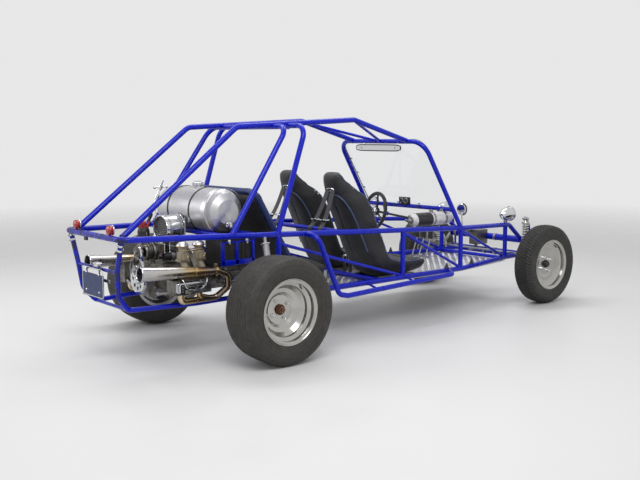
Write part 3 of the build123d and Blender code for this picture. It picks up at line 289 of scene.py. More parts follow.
# Shader graphs
class Finish:
    """A material on one principled shader, with short calls for the nodes that vary it."""

    def __init__(self, name, colour, rough=0.5, metal=0.0, **sockets):
        self.material = bpy.data.materials.new(name)
        self.material.use_nodes = True
        self.tree = self.material.node_tree
        self.tree.nodes.clear()
        self.shader = self.node("ShaderNodeBsdfPrincipled")
        out = self.node("ShaderNodeOutputMaterial")
        self.tree.links.new(self.shader.outputs[0], out.inputs[0])
        self.set("Base Color", (*colour, 1))
        self.set("Roughness", rough)
        self.set("Metallic", metal)
        for socket, value in sockets.items():
            self.set(socket.replace("_", " "), value)
        self.place = self.node("ShaderNodeTexCoord").outputs["Object"]

    def node(self, kind, **values):
        made = self.tree.nodes.new(kind)
        for name, value in values.items():
            setattr(made, name, value)
        return made

    def set(self, socket, value):
        """A plain value on the shader's own socket, or a link to it."""
        if isinstance(value, bpy.types.NodeSocket):
            self.tree.links.new(value, self.shader.inputs[socket])
        else:
            self.shader.inputs[socket].default_value = value

    def feed(self, made, inputs):
        for name, value in inputs.items():
            if isinstance(value, bpy.types.NodeSocket):
                self.tree.links.new(value, made.inputs[name])
            else:
                made.inputs[name].default_value = value
        return made

    def stretched(self, scale, vector=None, turn=(0, 0, 0), shift=(0, 0, 0)):
        """Coordinates scaled by axis, for grain that runs one way."""
        made = self.node("ShaderNodeMapping")
        self.feed(made, {"Vector": vector or self.place, "Scale": scale, "Rotation": turn, "Location": shift})
        return made.outputs[0]

    def noise(self, scale, detail=3.0, rough=0.55, vector=None, distort=0.0):
        made = self.node("ShaderNodeTexNoise")
        values = {"Scale": scale, "Detail": detail, "Roughness": rough, "Distortion": distort}
        self.feed(made, {"Vector": vector or self.place, **values})
        return made.outputs[0]

    def cells(self, scale, feature="DISTANCE_TO_EDGE", vector=None):
        made = self.node("ShaderNodeTexVoronoi", feature=feature)
        self.feed(made, {"Vector": vector or self.place, "Scale": scale})
        return made.outputs[0]

    def ramp(self, value, stops):
        """Colours or grey levels at places along a value."""
        made = self.node("ShaderNodeValToRGB")
        self.feed(made, {"Fac": value})
        ramp = made.color_ramp
        while len(ramp.elements) < len(stops):
            ramp.elements.new(0.5)
        for element, (place, colour) in zip(ramp.elements, stops):
            element.position = place
            element.color = (*colour, 1) if hasattr(colour, "__len__") else (colour, colour, colour, 1)
        return made.outputs[0]

    def range(self, value, low, high, out_low=0.0, out_high=1.0):
        """A value carried from one range to another, and held at its ends."""
        made = self.node("ShaderNodeMapRange")
        self.feed(made, {0: value, 1: low, 2: high, 3: out_low, 4: out_high})
        return made.outputs[0]

    def sum(self, a, b, operation="ADD"):
        made = self.node("ShaderNodeMath", operation=operation)
        self.feed(made, {0: a, 1: b})
        return made.outputs[0]

    def mix(self, share, a, b):
        """Colour a turning into colour b as the share rises."""
        made = self.node("ShaderNodeMix", data_type="RGBA")
        colours = [(*c, 1) if isinstance(c, tuple) and len(c) == 3 else c for c in (a, b)]
        self.feed(made, {0: share, 6: colours[0], 7: colours[1]})
        return made.outputs[2]

    def along(self, axis):
        """The object coordinate along one axis, in metres."""
        made = self.node("ShaderNodeSeparateXYZ")
        self.feed(made, {0: self.place})
        return made.outputs["XYZ".index(axis)]

    def bump(self, height, strength=0.3, distance=0.001, under=None):
        made = self.node("ShaderNodeBump")
        self.feed(made, {"Height": height, "Strength": strength, "Distance": distance})
        if under:
            self.feed(made, {"Normal": under})
        return made.outputs[0]

    def uneven_gloss(self, scale, detail, noise_low, noise_high, low, high):
        """Roughness that wanders between two values in patches."""
        self.set("Roughness", self.range(self.noise(scale, detail), noise_low, noise_high, low, high))

    def grain(self, noise, strength, distance):
        """Fine unevenness over the whole surface, from a noise of that scale, detail and roughness."""
        self.set("Normal", self.bump(self.noise(*noise), strength, distance))


def frame_paint():
    """Deep blue gloss paint with fine flake, dust in its roughness and a scuffed rear bar."""
    paint = Finish("frame_blue_gloss", (0.0005, 0.008, 0.42), 0.3, 0.0, Coat_Weight=0.35, Coat_Roughness=0.05)
    paint.set("Specular IOR Level", 0.25)
    paint.set("Coat IOR", 1.35)
    flake = paint.noise(900, 1)
    shade = paint.mix(paint.range(flake, 0.35, 0.65), (0.0002, 0.006, 0.38), (0.0006, 0.013, 0.54))
    patch = paint.noise(26, 5, 0.65)
    rearward = paint.range(paint.along("X"), cad_low.x + 0.10, cad_low.x + 0.02)
    scuffed = paint.sum(paint.range(patch, 0.46, 0.58), rearward, "MULTIPLY")
    paint.set("Base Color", paint.mix(scuffed, shade, (0.022, 0.022, 0.032)))
    worn = paint.range(paint.noise(14, 4), 0.3, 0.7, 0.24, 0.38)
    paint.set("Roughness", paint.sum(worn, paint.sum(scuffed, 0.4, "MULTIPLY")))
    peel = paint.bump(paint.noise(160, 2), 0.06, 0.0008)
    paint.set("Normal", paint.bump(scuffed, 0.35, 0.0006, peel))
    return paint.material


def tyre_rubber(name, clean, dusty, deep, dust, dust_from, cut, patch, rough, grain, depth):
    """Matt black rubber: dust on its high places, painted shade darkening it where the tread is cut in, fine
    moulding grain.
    """
    rubber = Finish(name, clean, 0.8)
    dust_share = rubber.range(rubber.noise(*dust), dust_from, 0.75)
    groove = rubber.node("ShaderNodeAttribute", attribute_name="groove").outputs["Fac"]
    tone = rubber.mix(dust_share, clean, dusty)
    # Painted shade: the colour goes to the deep tone by how deep the tread is cut there.
    rubber.set("Base Color", rubber.mix(rubber.range(groove, *cut), tone, deep))
    rubber.set("Roughness", rubber.range(rubber.noise(patch, 3), 0.3, 0.7, *rough))
    rubber.set("Normal", rubber.bump(rubber.noise(*grain), *depth))
    return rubber.material


def polished_metal(name, colour, rough, grain=(1, 160, 1), depth=0.05):
    """Polished aluminium: fine turned lines along one axis, haze and small smudges."""
    metal = Finish(name, colour, rough, 1.0)
    lines = metal.noise(1.0, 3, 0.6, metal.stretched(grain))
    haze = metal.noise(7, 5, 0.6)
    metal.set("Base Color", metal.mix(metal.range(haze, 0.3, 0.75), colour, tuple(0.82 * c for c in colour)))
    rough_haze = metal.range(haze, 0.3, 0.75, rough * 0.75, rough * 1.6)
    metal.set("Roughness", metal.sum(rough_haze, metal.range(lines, 0.3, 0.7, 0.0, 0.06)))
    metal.set("Normal", metal.bump(lines, depth, 0.0004))
    return metal.material


def cast_metal():
    """Sand-cast aluminium: grey, grainy, with oil stain in patches."""
    metal = Finish("cast_aluminium_stained", (0.42, 0.41, 0.38), 0.5, 0.85)
    stain = metal.range(metal.noise(16, 5, 0.65), 0.42, 0.72)
    metal.set("Base Color", metal.mix(stain, (0.25, 0.24, 0.215), (0.055, 0.045, 0.032)))
    metal.uneven_gloss(60, 3, 0.3, 0.7, 0.36, 0.62)
    metal.grain((420, 4, 0.7), 0.35, 0.0009)
    return metal.material


def chrome_plate():
    """Bright chrome with faint haze."""
    metal = Finish("bright_chrome", (0.66, 0.67, 0.69), 0.05, 1.0)
    metal.uneven_gloss(22, 4, 0.35, 0.75, 0.03, 0.11)
    metal.grain((45, 2), 0.02, 0.001)
    return metal.material


def plain_steel():
    """Bare steel with light surface rust in patches."""
    metal = Finish("bare_steel", (0.35, 0.35, 0.36), 0.4, 0.9)
    rust = metal.range(metal.noise(48, 6, 0.7), 0.56, 0.74)
    metal.set("Base Color", metal.mix(rust, (0.36, 0.36, 0.37), (0.20, 0.085, 0.035)))
    metal.set("Metallic", metal.range(rust, 0.0, 1.0, 0.95, 0.15))
    metal.set("Roughness", metal.range(rust, 0.0, 1.0, 0.34, 0.8))
    metal.grain((300, 4), 0.2, 0.0006)
    return metal.material


def heated_pipe():
    """Exhaust steel: straw, bronze and blue near the engine, fading to plain polish at the open end."""
    metal = Finish("heat_tinted_steel", (0.5, 0.45, 0.4), 0.24, 1.0)
    reach = metal.range(metal.along("X"), rear_axle_x - 0.72, rear_axle_x - 0.10)
    uneven = metal.sum(reach, metal.range(metal.noise(11, 4), 0.2, 0.8, -0.07, 0.07))
    tints = [
        (0.00, (0.52, 0.52, 0.53)), (0.38, (0.58, 0.54, 0.48)), (0.52, (0.62, 0.45, 0.22)),
        (0.66, (0.42, 0.28, 0.14)), (0.80, (0.30, 0.24, 0.22)), (1.00, (0.22, 0.16, 0.10)),
    ]
    metal.set("Base Color", metal.ramp(uneven, tints))
    metal.uneven_gloss(30, 4, 0.3, 0.75, 0.14, 0.36)
    metal.set("Normal", metal.bump(metal.noise(1.0, 3, 0.6, metal.stretched((10, 240, 240))), 0.06, 0.0005))
    return metal.material


def black_vinyl():
    """Coated vinyl: leather-like grain, soft sheen, small colour changes."""
    colour = (0.014, 0.0145, 0.016)
    vinyl = Finish("black_grained_vinyl", colour, 0.42, Sheen_Weight=0.15, Sheen_Roughness=0.4)
    wear = vinyl.range(vinyl.noise(12, 4), 0.35, 0.7)
    vinyl.set("Base Color", vinyl.mix(wear, (0.011, 0.0115, 0.013), (0.026, 0.026, 0.029)))
    vinyl.uneven_gloss(24, 4, 0.3, 0.7, 0.46, 0.62)
    grain = vinyl.bump(vinyl.cells(420), 0.35, 0.0006)
    vinyl.set("Normal", vinyl.bump(vinyl.noise(60, 3), 0.12, 0.001, grain))
    return vinyl.material


def moulded(name, colour, rough=0.4, grain=380, depth=0.12, coat=0.0):
    """Moulded plastic or plain enamel: fine grain, small changes of tone and gloss."""
    skin = Finish(name, colour, rough, Coat_Weight=coat, Coat_Roughness=0.08)
    tone = skin.range(skin.noise(18, 4), 0.3, 0.75)
    skin.set("Base Color", skin.mix(tone, colour, tuple(0.72 * c for c in colour)))
    skin.set("Roughness", skin.range(skin.noise(35, 3), 0.3, 0.7, rough * 0.8, min(1.0, rough * 1.25)))
    skin.grain((grain, 3), depth, 0.0005)
    return skin.material


def clear_plastic():
    """Clear sheet with faint wiping marks."""
    sheet = Finish("clear_screen_sheet", (0.97, 0.985, 0.99), 0.015, Transmission_Weight=1.0, IOR=1.2)
    sheet.uneven_gloss(6, 5, 0.4, 0.8, 0.0, 0.05)
    sheet.grain((4, 2), 0.01, 0.001)
    return sheet.material


def lens_red():
    """Red lamp lens with moulded ribs."""
    lens = Finish("red_ribbed_lens", (0.40, 0.006, 0.004), 0.16, Coat_Weight=0.4, Coat_Roughness=0.03)
    tone = lens.range(lens.noise(60, 2), 0.3, 0.7)
    lens.set("Base Color", lens.mix(tone, (0.42, 0.006, 0.004), (0.28, 0.003, 0.003)))
    ribs = lens.node("ShaderNodeTexWave", bands_direction="Z")
    lens.feed(ribs, {"Vector": lens.place, "Scale": 90})
    lens.set("Normal", lens.bump(ribs.outputs[0], 0.4, 0.0008))
    return lens.material


def tread_metal():
    """The floor's aluminium plate: dull polish, scratches one way and dirt between the bars."""
    metal = Finish("tread_plate_metal", (0.66, 0.66, 0.67), 0.34, 1.0)
    dirt = metal.range(metal.noise(11, 5, 0.65), 0.45, 0.75)
    metal.set("Base Color", metal.mix(dirt, (0.70, 0.70, 0.71), (0.38, 0.36, 0.33)))
    scratches = metal.noise(1.0, 4, 0.7, metal.stretched((14, 420, 60)))
    metal.set("Roughness", metal.range(scratches, 0.3, 0.75, 0.24, 0.46))
    metal.set("Normal", metal.bump(scratches, 0.10, 0.0004))
    return metal.material


blue_paint = frame_paint()
# For both rubbers, deep is the painted shade that the tread's cut places darken to.
rubber = tyre_rubber(
    "tyre_rubber", clean=(0.020, 0.020, 0.019), dusty=(0.038, 0.036, 0.033), deep=(0.006, 0.006, 0.006),
    dust=(9, 5, 0.6), dust_from=0.35, cut=(0.12, 0.55), patch=40, rough=(0.50, 0.76), grain=(700, 3),
    depth=(0.25, 0.0006),
)
old_rubber = tyre_rubber(
    "worn_tyre_rubber", clean=(0.022, 0.021, 0.019), dusty=(0.048, 0.044, 0.038), deep=(0.012, 0.011, 0.010),
    dust=(7, 6, 0.65), dust_from=0.3, cut=(0.15, 0.6), patch=30, rough=(0.52, 0.78), grain=(520, 4),
    depth=(0.3, 0.0008),
)
spun_aluminium = polished_metal("spun_tank_aluminium", (0.60, 0.60, 0.61), 0.30, (420, 2, 420), 0.06)
rim_aluminium = polished_metal("polished_rim_aluminium", (0.50, 0.49, 0.465), 0.15, (3, 300, 3), 0.06)
cast = cast_metal()
chrome = chrome_plate()
steel = plain_steel()
hot_steel = heated_pipe()
vinyl = black_vinyl()
plastic = moulded("black_moulded_plastic", (0.018, 0.018, 0.02), 0.45)
white_enamel = moulded("white_enamel", (0.80, 0.79, 0.76), 0.3, 200, 0.04, 0.4)
plate_blue = moulded("plate_blue_enamel", (0.004, 0.022, 0.12), 0.4, 220, 0.05)
mirror = chrome_plate()
mirror.name = "silvered_mirror"
clear = clear_plastic()
red_lens = lens_red()
plate_metal = tread_metal()
slot_finish = {
    "frame_blue": blue_paint, "black_vinyl": vinyl, "rubber_tyre": rubber, "white_paint": white_enamel,
    "polished_aluminium": rim_aluminium, "cast_aluminium": cast, "chrome": chrome, "clear_sheet": clear,
    "tread_plate": plate_metal, "steel": steel, "heated_steel": hot_steel, "red_lens": red_lens,
    "plate_blue": plate_blue, "mirror_face": mirror, "black_plastic": plastic,
}
carburettor_cast = moulded("warm_carburettor_casting", (0.40, 0.34, 0.24), 0.36, 420, 0.3)
dark_metal = polished_metal("smoked_generator_steel", (0.16, 0.15, 0.14), 0.30, (40, 40, 40), 0.10)
node_finish = {
    "fuel_tank": spun_aluminium,
    "carburettors": carburettor_cast,
    "generator": dark_metal,
    "steering_box": dark_metal,
}
for name, node in nodes.items():
    for place in node.material_slots:
        place.material = node_finish.get(name) or slot_finish[place.material.name.split(".")[0]]


def rusted_steel():
    """Old steel with flaking rust all over."""
    metal = Finish("rusted_steel", (0.14, 0.06, 0.03), 0.85, 0.2)
    flakes = metal.range(metal.noise(180, 6, 0.7), 0.35, 0.7)
    metal.set("Base Color", metal.mix(flakes, (0.10, 0.035, 0.014), (0.24, 0.095, 0.035)))
    metal.set("Roughness", metal.range(flakes, 0.0, 1.0, 0.7, 0.95))
    metal.set("Normal", metal.bump(flakes, 0.5, 0.0008))
    return metal.material


def woven_belt():
    """Black woven webbing: fine cross threads, painted lighter on their raised tops and painted darker
    between them, and a slight sheen.
    """
    belt = Finish("black_woven_belt", (0.014, 0.014, 0.016), 0.6, Sheen_Weight=0.3)
    cross_threads = belt.noise(1.0, 1, 0.5, belt.stretched((900, 140, 900)))
    threads = belt.sum(cross_threads, belt.noise(700, 1), "MULTIPLY")
    # Painted light and shade: raised threads lighter, the low places between them darker.
    raised = belt.range(threads, 0.15, 0.4)
    belt.set("Base Color", belt.mix(raised, (0.010, 0.010, 0.012), (0.034, 0.034, 0.037)))
    belt.uneven_gloss(90, 2, 0.3, 0.7, 0.5, 0.72)
    belt.set("Normal", belt.bump(threads, 0.5, 0.0006))
    return belt.material


def lamp_glass():
    """Clear fluted headlamp glass."""
    glass = Finish("clear_lamp_glass", (0.97, 0.98, 0.98), 0.02, Transmission_Weight=1.0, IOR=1.3)
    ribs = glass.node("ShaderNodeTexWave", bands_direction="Y")
    glass.feed(ribs, {"Vector": glass.place, "Scale": 26})
    glass.uneven_gloss(20, 3, 0.3, 0.7, 0.01, 0.05)
    glass.set("Normal", glass.bump(ribs.outputs[0], 0.25, 0.001))
    return glass.material


rusty = rusted_steel()
belt_cloth = woven_belt()
lens_glass = lamp_glass()
brass = polished_metal("aged_brass", (0.62, 0.46, 0.22), 0.22, (60, 60, 60), 0.08)
red_rubber = moulded("red_rubber_boot", (0.42, 0.02, 0.015), 0.5)
navy_vinyl = moulded("navy_vinyl_edge", (0.014, 0.030, 0.14), 0.42, 420, 0.3)
piping_grey = moulded("blue_grey_piping", (0.075, 0.115, 0.21), 0.5, 420, 0.2)
clear_white = moulded("white_lamp_cover", (0.72, 0.72, 0.70), 0.2, 100, 0.05, 0.5)


# Layout of the frame, in metres
cabin_w = 0.500
nose_w = 0.363
roof_w = 0.305
main_tube_r = 0.019
branch_tube_r = 0.0182
brace_tube_r = 0.016
stay_tube_r = 0.011
wheelbase = front_axle_x - rear_axle_x
screen_foot_s = wheelbase - 0.864
nose_post_s = wheelbase - 0.135
beam_s = wheelbase + 0.118
lower_rail_z = 0.355
flare_s, flare_z = -0.153, 0.783
screen_foot_z = 0.678
roof_rear = (0.032, 1.468)
roof_front = (1.056, 1.520)
roof_front_place = (roof_front[0], roof_w, roof_front[1])
harness_bar = at(0.735, 0, 0.746)
dash_bar = at(1.9244, 0, 0.829)


def rail_height(station):
    """Height of the upper rail's middle line between its flare and the screen's foot."""
    return flare_z + (station - flare_s) / (screen_foot_s - flare_s) * (screen_foot_z - flare_z)


def roof_height(station):
    """Height of the roof rails' middle line between their two bends."""
    share = (station - roof_rear[0]) / (roof_front[0] - roof_rear[0])
    return roof_rear[1] + share * (roof_front[1] - roof_rear[1])


# Tyres: a section of beads, walls and crown turned about the axle, with the tread cut into it
# Groove places and the slots' start are shares of half the tread's width, and the rest is in metres
tyre_table = {
    "front": {
        "steps": 288, "columns": 76, "grooves": (-0.72, -0.43, -0.15, 0.15, 0.43, 0.72),
        "groove_width": 0.0042, "groove_depth": 0.0065, "zigzag": 0.0022, "slots": 72, "slot_depth": 0.0050,
        "slot_start": 0.15,
    },
    "rear": {
        "steps": 300, "columns": 104, "grooves": (-0.84, -0.63, -0.42, -0.21, 0.0, 0.21, 0.42, 0.63, 0.84),
        "groove_width": 0.0040, "groove_depth": 0.0026, "zigzag": 0.0035, "slots": 100, "slot_depth": 0.0012,
        "slot_start": 0.1,
    },
}
rim_seat_r = 0.1923
rim_flange_r = 0.208
shoulder_w = 0.022
crown_drop = 0.008


def tyre_section(half, rim_half, tread_half, tyre_r, columns):
    """The tyre's outline round its section, and how many of its points lie on the outside and come first."""
    wall_r = (rim_flange_r + tyre_r) / 2
    seat_r = rim_seat_r + 0.0006
    wall = through([
        (rim_half - 0.0093, seat_r), (rim_half - 0.0056, rim_flange_r - 0.001),
        (rim_half + 0.001, rim_flange_r + 0.008), (half - 0.0035, wall_r - 0.022),
        (half - 0.0003, wall_r + 0.004), (half - 0.004, wall_r + 0.030),
        (tread_half + 0.009, tyre_r - 0.0175), (tread_half, tyre_r - 0.0085),
    ], 34)
    share = np.linspace(1, -1, columns)
    crown = np.stack([share * tread_half, tyre_r - crown_drop * share**2], -1)
    inner_half, inner_r = tread_half - 0.006, tyre_r - 0.017
    inside = through([
        (-rim_half + 0.024, seat_r), (0.012 - half, wall_r), (-inner_half, inner_r), (inner_half, inner_r),
        (half - 0.012, wall_r), (rim_half - 0.024, seat_r),
    ], 20)
    outside = np.concatenate([wall, crown[1:-1], wall[::-1] * (-1, 1)])
    return np.concatenate([outside, inside]), len(outside)


def tyre_shape(end, side_name):
    """A point at (turn, column) lies on the section at that column, moved in by the tread's depth there."""
    tread = tyre_table[end]
    low, high = (np.array(corner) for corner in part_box(f"tyre_{end}_{side_name}"))
    rim_low, rim_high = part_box(f"rim_{end}_{side_name}")
    half, tyre_r = (high - low)[1] / 2, (high - low)[2] / 2
    tread_half = half - shoulder_w
    section, outside = tyre_section(half, (rim_high.y - rim_low.y) / 2, tread_half, tyre_r, tread["columns"])
    across, radius = section.T
    on_outside = np.arange(len(section)) < outside

    slope = np.roll(section, -1, 0) - np.roll(section, 1, 0)
    inward = unit(np.stack([slope[:, 1], -slope[:, 0]], -1))
    from_middle = section - (0, (rim_flange_r + tyre_r) / 2)
    inward *= np.where(np.sum(inward * from_middle, 1) > 0, -1, 1)[:, None]

    turn = around(tread["steps"])[:, None]
    wave = np.abs((turn * tread["slots"] / 2 / TURN) % 1 * 2 - 1) - 0.5
    cut = np.zeros((tread["steps"], len(section)))
    for groove in tread["grooves"]:
        off = np.abs(across - groove * tread_half - 2 * tread["zigzag"] * wave) / tread["groove_width"]
        channel = tread["groove_depth"] * np.clip(1.3 - off, 0, 1)
        cut = np.maximum(cut, channel * (radius > tyre_r - 0.009))
    slot = np.clip((np.cos(tread["slots"] * (turn + across * 1.2)) - 0.55) * 4, 0, 1)
    wall_top_r, ring_depth, ring_pitch = tyre_r - 0.030, 0.0009, 0.026
    slot_reach = np.clip((np.abs(across) / tread_half - tread["slot_start"]) * 14, 0, 1)
    on_shoulder = (radius > wall_top_r) & on_outside
    cut = np.maximum(cut, tread["slot_depth"] * slot * slot_reach * on_shoulder)
    wall_rings = ring_depth * np.cos((radius - rim_flange_r) * TURN / ring_pitch)
    on_wall = (radius > rim_flange_r + 0.004) & (radius < wall_top_r) & on_outside
    cut = cut + wall_rings * on_wall

    placed = section + cut[:, :, None] * inward
    points = np.stack([placed[..., 1] * np.cos(turn), placed[..., 0], placed[..., 1] * np.sin(turn)], -1)
    return skin(points + (low + high) / 2, True), cut / tread["groove_depth"]


for end, material in (("front", rubber), ("rear", old_rubber)):
    for side_name, _ in SIDES:
        node = f"tyre_{end}_{side_name}"
        shape, cut_share = tyre_shape(end, side_name)
        tyre = piece(f"{node}_tread", shape, material, f"wheel_{end}_{side_name}", (node,), 50)
        # The cut depth on each point sets how far the rubber's painted groove shade darkens it.
        groove = tyre.data.attributes.new("groove", "FLOAT", "POINT")
        groove.data.foreach_set("value", np.clip(cut_share, 0, 1).astype(np.float32).ravel())


# Hubs, nuts and valve stems
def wheel_nut():
    """A hexagon nut on a coned seat, closed by a dome, standing on z = 0."""
    seat_h, flats_h = 0.003, 0.0125
    seat = turned([(0, 0.0145), (seat_h, 0.0125), (0.0036, 0.0125)], steps=24)
    dome = turned([(0, 0.0088), (0.004, 0.0078), (0.007, 0.0045), (0.0078, 0.0012)],
                  (0, 0, seat_h + flats_h), (0, 0, 1), 20)
    return joined(seat, copies(hexagon(0.019, 0.013), (0, 0, seat_h)), dome)


def axle_nut(hub, outward):
    """The rear axle's washer, castellated nut and the threaded end in it."""
    washer = turned([(0, 0.034), (0.003, 0.034)], hub + outward * 0.0062, outward, 36)
    castle = turned([(0, 0.0265), (0.013, 0.0265), (0.0145, 0.024)], hub + outward * 0.0092, outward, 6)
    tooth = rounded_box((0, 0, 0.003), (0.008, 0.0075, 0.007), 0.0008, 2)
    teeth = copies(tooth, ring_of(6, 0.0185, hub + outward * 0.0235, outward), outward)
    ridges = [(k * 0.001, 0.0125 + 0.0006 * (k % 2)) for k in range(33)]
    return [washer, castle, teeth, turned(ridges, hub + outward * 0.006, outward, 24)]


def hub_fittings():
    """Wheel nuts on each face, a castellated nut on each rear axle, a dust cap in front, and valve stems."""
    nut_circle_r = 0.065
    cap = [(0, 0.031), (0.003, 0.031), (0.005, 0.027), (0.019, 0.0245), (0.026, 0.019), (0.029, 0.010),
           (0.0298, 0.0015)]
    stem = [(0, 0.0060), (0.003, 0.0060), (0.005, 0.0040), (0.014, 0.0036), (0.015, 0.0044), (0.022, 0.0042),
            (0.0235, 0.0028)]
    stem_way, stem_r, stem_inset = np.array([0.6, 0, 0.8]), 0.176, 0.044
    for end in ("front", "rear"):
        for side_name, side in SIDES:
            drum_low, drum_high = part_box(f"drum_{end}_{side_name}")
            rim_low, rim_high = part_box(f"rim_{end}_{side_name}")
            axle = np.array([(rim_low.x + rim_high.x) / 2, 0, (rim_low.z + rim_high.z) / 2])
            outward = np.array([0, side, 0])
            hub = axle + outward * ((drum_high.y if side > 0 else -drum_low.y) - 0.026)
            body = f"wheel_{end}_{side_name}"
            nuts = copies(wheel_nut(), ring_of(4, nut_circle_r, hub, outward, 0.5), outward)
            piece(f"wheel_nuts_{end}_{side_name}", nuts, chrome, body)
            if end == "rear":
                piece(f"axle_nut_{side_name}", axle_nut(hub, outward), rusty, body)
            else:
                piece(f"dust_cap_{side_name}", turned(cap, hub + outward * 0.004, outward, 40), plastic, body)
            flange = rim_high.y if side > 0 else -rim_low.y
            foot = axle + outward * (flange - stem_inset) + stem_way * stem_r
            lean = outward * 0.9 - stem_way * 0.42
            piece(f"valve_stem_{end}_{side_name}", turned(stem, foot, lean, 16), plastic, body)


hub_fittings()


# Padded seats and bench
def quarter_ends(share, reach):
    """A factor that falls to a small value at both ends as a quarter circle does, for crowned ends."""
    smallest = 0.06
    left, right = np.clip(share / reach, 0, 1), np.clip((1 - share) / reach, 0, 1)
    return np.maximum(np.sqrt(1 - (1 - left) ** 2) * np.sqrt(1 - (1 - right) ** 2), smallest)


def pad_form(spine, tables, middle, shrink, rows=90, sides=72):
    """A pad along its front line: rings of width * cos and thickness * sin, lifted forward at the sides."""
    line = through(spine, rows)
    share = np.linspace(0, 1, rows)
    knots = np.linspace(0, 1, len(spine))
    half, wing, thick = (np.interp(share, knots, table)[:, None] for table in tables)
    tangent = unit(np.gradient(line, axis=0))
    front = np.stack([tangent[:, 1], -tangent[:, 0]], -1)
    ends = quarter_ends(share, 0.045)[:, None]
    turn = around(sides)
    across, deep = boxy(np.cos(turn), 0.75), boxy(np.sin(turn), 0.8)
    lift = wing * np.abs(across) ** 3.2 + (deep - 1) * thick / 2 * ends - shrink * (deep > 0)
    place = line[:, None] + lift[:, :, None] * front[:, None]
    y = middle + (half - shrink) * ends**0.5 * across
    points = np.stack([rear_axle_x + place[..., 0], y, place[..., 1]], -1)
    return skin(points)


def finished_mesh(holder):
    """The mesh that an object's modifiers give."""
    return bpy.data.meshes.new_from_object(holder.evaluated_get(bpy.context.evaluated_depsgraph_get()))


def point_places(mesh):
    """The places of a mesh's points, as an array with a row for each."""
    flat = np.empty(len(mesh.vertices) * 3, np.float32)
    mesh.vertices.foreach_get("co", flat)
    return flat.reshape(-1, 3)


def swollen(name, shape, cap, voxel, pressure=4.0, frames=20):
    """The shape as one even mesh, blown up as cloth by a small pressure, each point held within the cap."""
    rough = bpy.data.objects.new(name, mesh_of(name, shape, 180))
    bpy.context.scene.collection.objects.link(rough)
    remesh = rough.modifiers.new("even", "REMESH")
    remesh.mode = "VOXEL"
    remesh.voxel_size = voxel
    remesh.use_smooth_shade = True
    mesh = finished_mesh(rough)
    rough.modifiers.clear()
    rough.data = mesh
    cloth = rough.modifiers.new("cloth", "CLOTH")
    cloth.settings.use_pressure = True
    cloth.settings.uniform_pressure_force = pressure
    cloth.settings.effector_weights.gravity = 0
    cloth.settings.quality = 5
    cloth.collision_settings.use_collision = False
    cloth.point_cache.frame_start = 1
    cloth.point_cache.frame_end = frames
    for frame_number in range(1, frames + 1):
        bpy.context.scene.frame_set(frame_number)
    blown = finished_mesh(rough)
    rough.modifiers.clear()
    bpy.context.scene.frame_set(1)
    before = point_places(mesh)
    moved = point_places(blown) - before
    moved *= np.minimum(1, cap / np.maximum(np.linalg.norm(moved, axis=1, keepdims=True), 1e-9))
    mesh.vertices.foreach_set("co", (before + moved).ravel())
    bpy.data.meshes.remove(blown)
    finer = rough.modifiers.new("finer", "SUBSURF")
    finer.levels = 1
    finer.render_levels = 1
    smooth = finished_mesh(rough)
    bpy.data.objects.remove(rough)
    smooth.name = name
    smooth.materials.clear()
    return smooth


def pressed(mesh, depth_at):
    """Sewn channels: each point moved in along its normal by the depth that the function gives there."""
    places, normals = point_places(mesh), np.empty(len(mesh.vertices) * 3, np.float32)
    mesh.vertices.foreach_get("normal", normals)
    normals = normals.reshape(-1, 3)
    mesh.vertices.foreach_set("co", (places - normals * depth_at(places, normals)[:, None]).ravel())
    mesh.update()
    mesh.polygons.foreach_set("use_smooth", np.ones(len(mesh.polygons), bool))


LINE_ROWS = 200


def spine_share(spine, places):
    """The share of a pad's front line that lies nearest to each place."""
    line = through(spine, LINE_ROWS)
    gap = (places[:, 0:1] - rear_axle_x - line[:, 0]) ** 2 + (places[:, 2:3] - line[:, 1]) ** 2
    return np.argmin(gap, 1) / (LINE_ROWS - 1)


def front_line(spine):
    """A pad's front line in rows, and the direction at each row that points into the pad."""
    line = through(spine, LINE_ROWS)
    tangent = unit(np.gradient(line, axis=0))
    return line, np.stack([-tangent[:, 1], tangent[:, 0]], -1)


def surface_of(mesh):
    """A tree that finds the nearest place on a pad, whose faces all have four corners."""
    corners = np.empty(len(mesh.loops), np.int32)
    mesh.loops.foreach_get("vertex_index", corners)
    return BVHTree.FromPolygons(point_places(mesh).tolist(), corners.reshape(-1, 4).tolist())


def on_surface(surface, path, lift=0.002):
    """A path laid on the nearest places of a surface, standing off it by a small lift."""
    hits = [surface.find_nearest(Vector(point)) for point in path]
    return np.array([hit[0] + hit[1] * lift for hit in hits])


def band(path, half, thick):
    """A flat belt along a path: eight corners at each point, half its width either way and thin across it."""
    tangent = unit(np.gradient(np.asarray(path, float), axis=0))
    normal = unit(np.cross(tangent, (0, 1, 0)))
    side = np.cross(normal, tangent)
    corner = np.array([(-1, -1), (-0.4, -1), (0.4, -1), (1, -1), (1, 1), (0.4, 1), (-0.4, 1), (-1, 1)])
    rings = path[:, None] + corner[:, 0:1] * half * side[:, None] + corner[:, 1:2] * thick * normal[:, None]
    return skin(rings)


belt_half, belt_thick = 0.0225, 0.0014
seat_spine = np.array([
    (1.712, 0.462), (1.600, 0.462), (1.470, 0.446), (1.335, 0.440), (1.240, 0.478), (1.178, 0.585),
    (1.115, 0.712), (1.048, 0.850), (0.990, 0.955), (0.945, 1.040), (0.912, 1.105), (0.890, 1.162),
])
